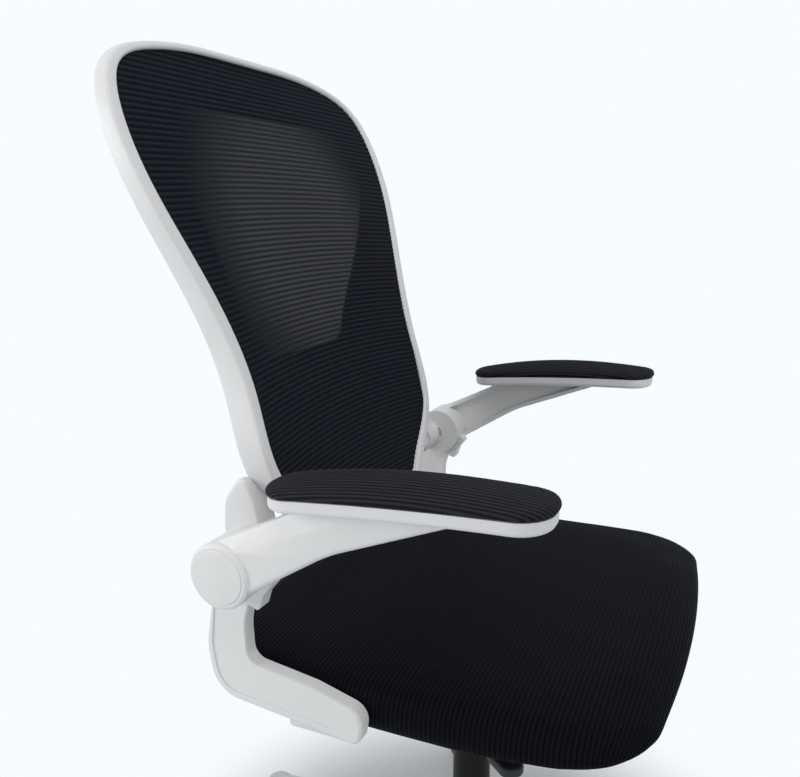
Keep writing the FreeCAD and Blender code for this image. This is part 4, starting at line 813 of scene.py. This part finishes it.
camera_data = bpy.data.cameras.new("portrait_camera")
camera_data.sensor_width = 36
camera_data.lens = 36
camera = new_piece("portrait_camera", camera_data)
camera.location = CAMERA_PLACE
camera.rotation_euler = CAMERA_AIM.to_track_quat("-Z", "Y").to_euler()
scene.camera = camera
print("camera at", [round(v, 3) for v in camera.location])

# %% [markdown]
# The floor and the world share one pale colour. Only rays from the camera, a mirror or glass see it at
# full strength, so it doesn't add light to the chair. Near the chair the floor is a plain surface that
# takes shadows, and further out it fades into the backdrop, so no horizon shows.

# %% The room and its floor
BACKDROP = (0.93, 0.973, 1.0, 1)
FLOOR_REACH = 12.0
FLOOR_DROP = 0.0005


def seen_directly(tree):
    """1 for rays that show the backdrop itself: from the camera, a mirror or glass."""
    path = place(tree, "ShaderNodeLightPath").outputs
    either = maths(tree, "MAXIMUM", path["Is Camera Ray"], path["Is Glossy Ray"])
    return maths(tree, "MAXIMUM", either, path["Is Transmission Ray"])


def blended(tree, share, first, second, end):
    """Lead a blend of two shaders to a tree's end node."""
    blend = place(tree, "ShaderNodeMixShader", {0: share, 1: first.outputs[0], 2: second.outputs[0]})
    fill(tree, tree.nodes[end], {0: blend.outputs[0]})


def floor_finish():
    """A pale floor that shows shadows near the chair and fades into the backdrop."""
    material, tree, surface = new_finish("pale_floor")
    fill(tree, surface, {
        "Base Color": (0.86, 0.89, 0.91, 1), "Roughness": 0.9, "Specular IOR Level": 0.0})
    glow = place(tree, "ShaderNodeEmission", {"Color": BACKDROP, "Strength": 1.0})
    away = vectors(tree, "LENGTH", object_spot(tree))["Value"]
    share = maths(tree, "MULTIPLY", faded(tree, away, start=0.25, end=0.5), seen_directly(tree))
    blended(tree, share, surface, glow, "Material Output")
    return material


world = bpy.data.worlds.new("pale_room")
world.use_nodes = True
scene.world = world
room = world.node_tree
light = place(room, "ShaderNodeBackground", {"Color": (0.97, 0.985, 1.0, 1), "Strength": 0.4})
show = place(room, "ShaderNodeBackground", {"Color": BACKDROP, "Strength": 1.0})
blended(room, seen_directly(room), light, show, "World Output")

floor_data = bpy.data.meshes.new("floor")
floor_corners = [(x * FLOOR_REACH, y * FLOOR_REACH, -FLOOR_DROP)
                 for x, y in ((-1, -1), (1, -1), (1, 1), (-1, 1))]
floor_data.from_pydata(floor_corners, [], [(0, 1, 2, 3)])
floor = new_piece("floor", floor_data)
dress(floor, floor_finish())
print("room:", world.name, "floor:", floor.data.materials[0].name)

# %% [markdown]
# Three soft lamps light the chair at a plain level, so that each colour shows about as it is written:
# one overhead, one from the side that draws the edges of the back, and a large one that fills the
# front. Each looks at the chair's middle.

# %% The lamps
CHAIR_MIDDLE = Vector((0.0, 0.0, 0.6))


def soft_lamp(name, stand, size, power):
    """A square area lamp that looks at the chair's middle."""
    lamp_data = bpy.data.lights.new(name, "AREA")
    lamp_data.size = size
    lamp_data.energy = power
    lamp = new_piece(name, lamp_data)
    lamp.location = stand
    lamp.rotation_euler = (CHAIR_MIDDLE - Vector(stand)).to_track_quat("-Z", "Y").to_euler()
    return lamp


lamps = [soft_lamp("overhead_lamp", (-0.6, -0.5, 2.6), size=1.8, power=16),
         soft_lamp("side_lamp", (-1.0, 1.2, 0.95), size=0.8, power=9),
         soft_lamp("fill_lamp", (-3.0, -3.2, 1.6), size=2.4, power=23)]
scene.view_settings.view_transform = "Standard"
print("lamps:", [lamp.name for lamp in lamps])
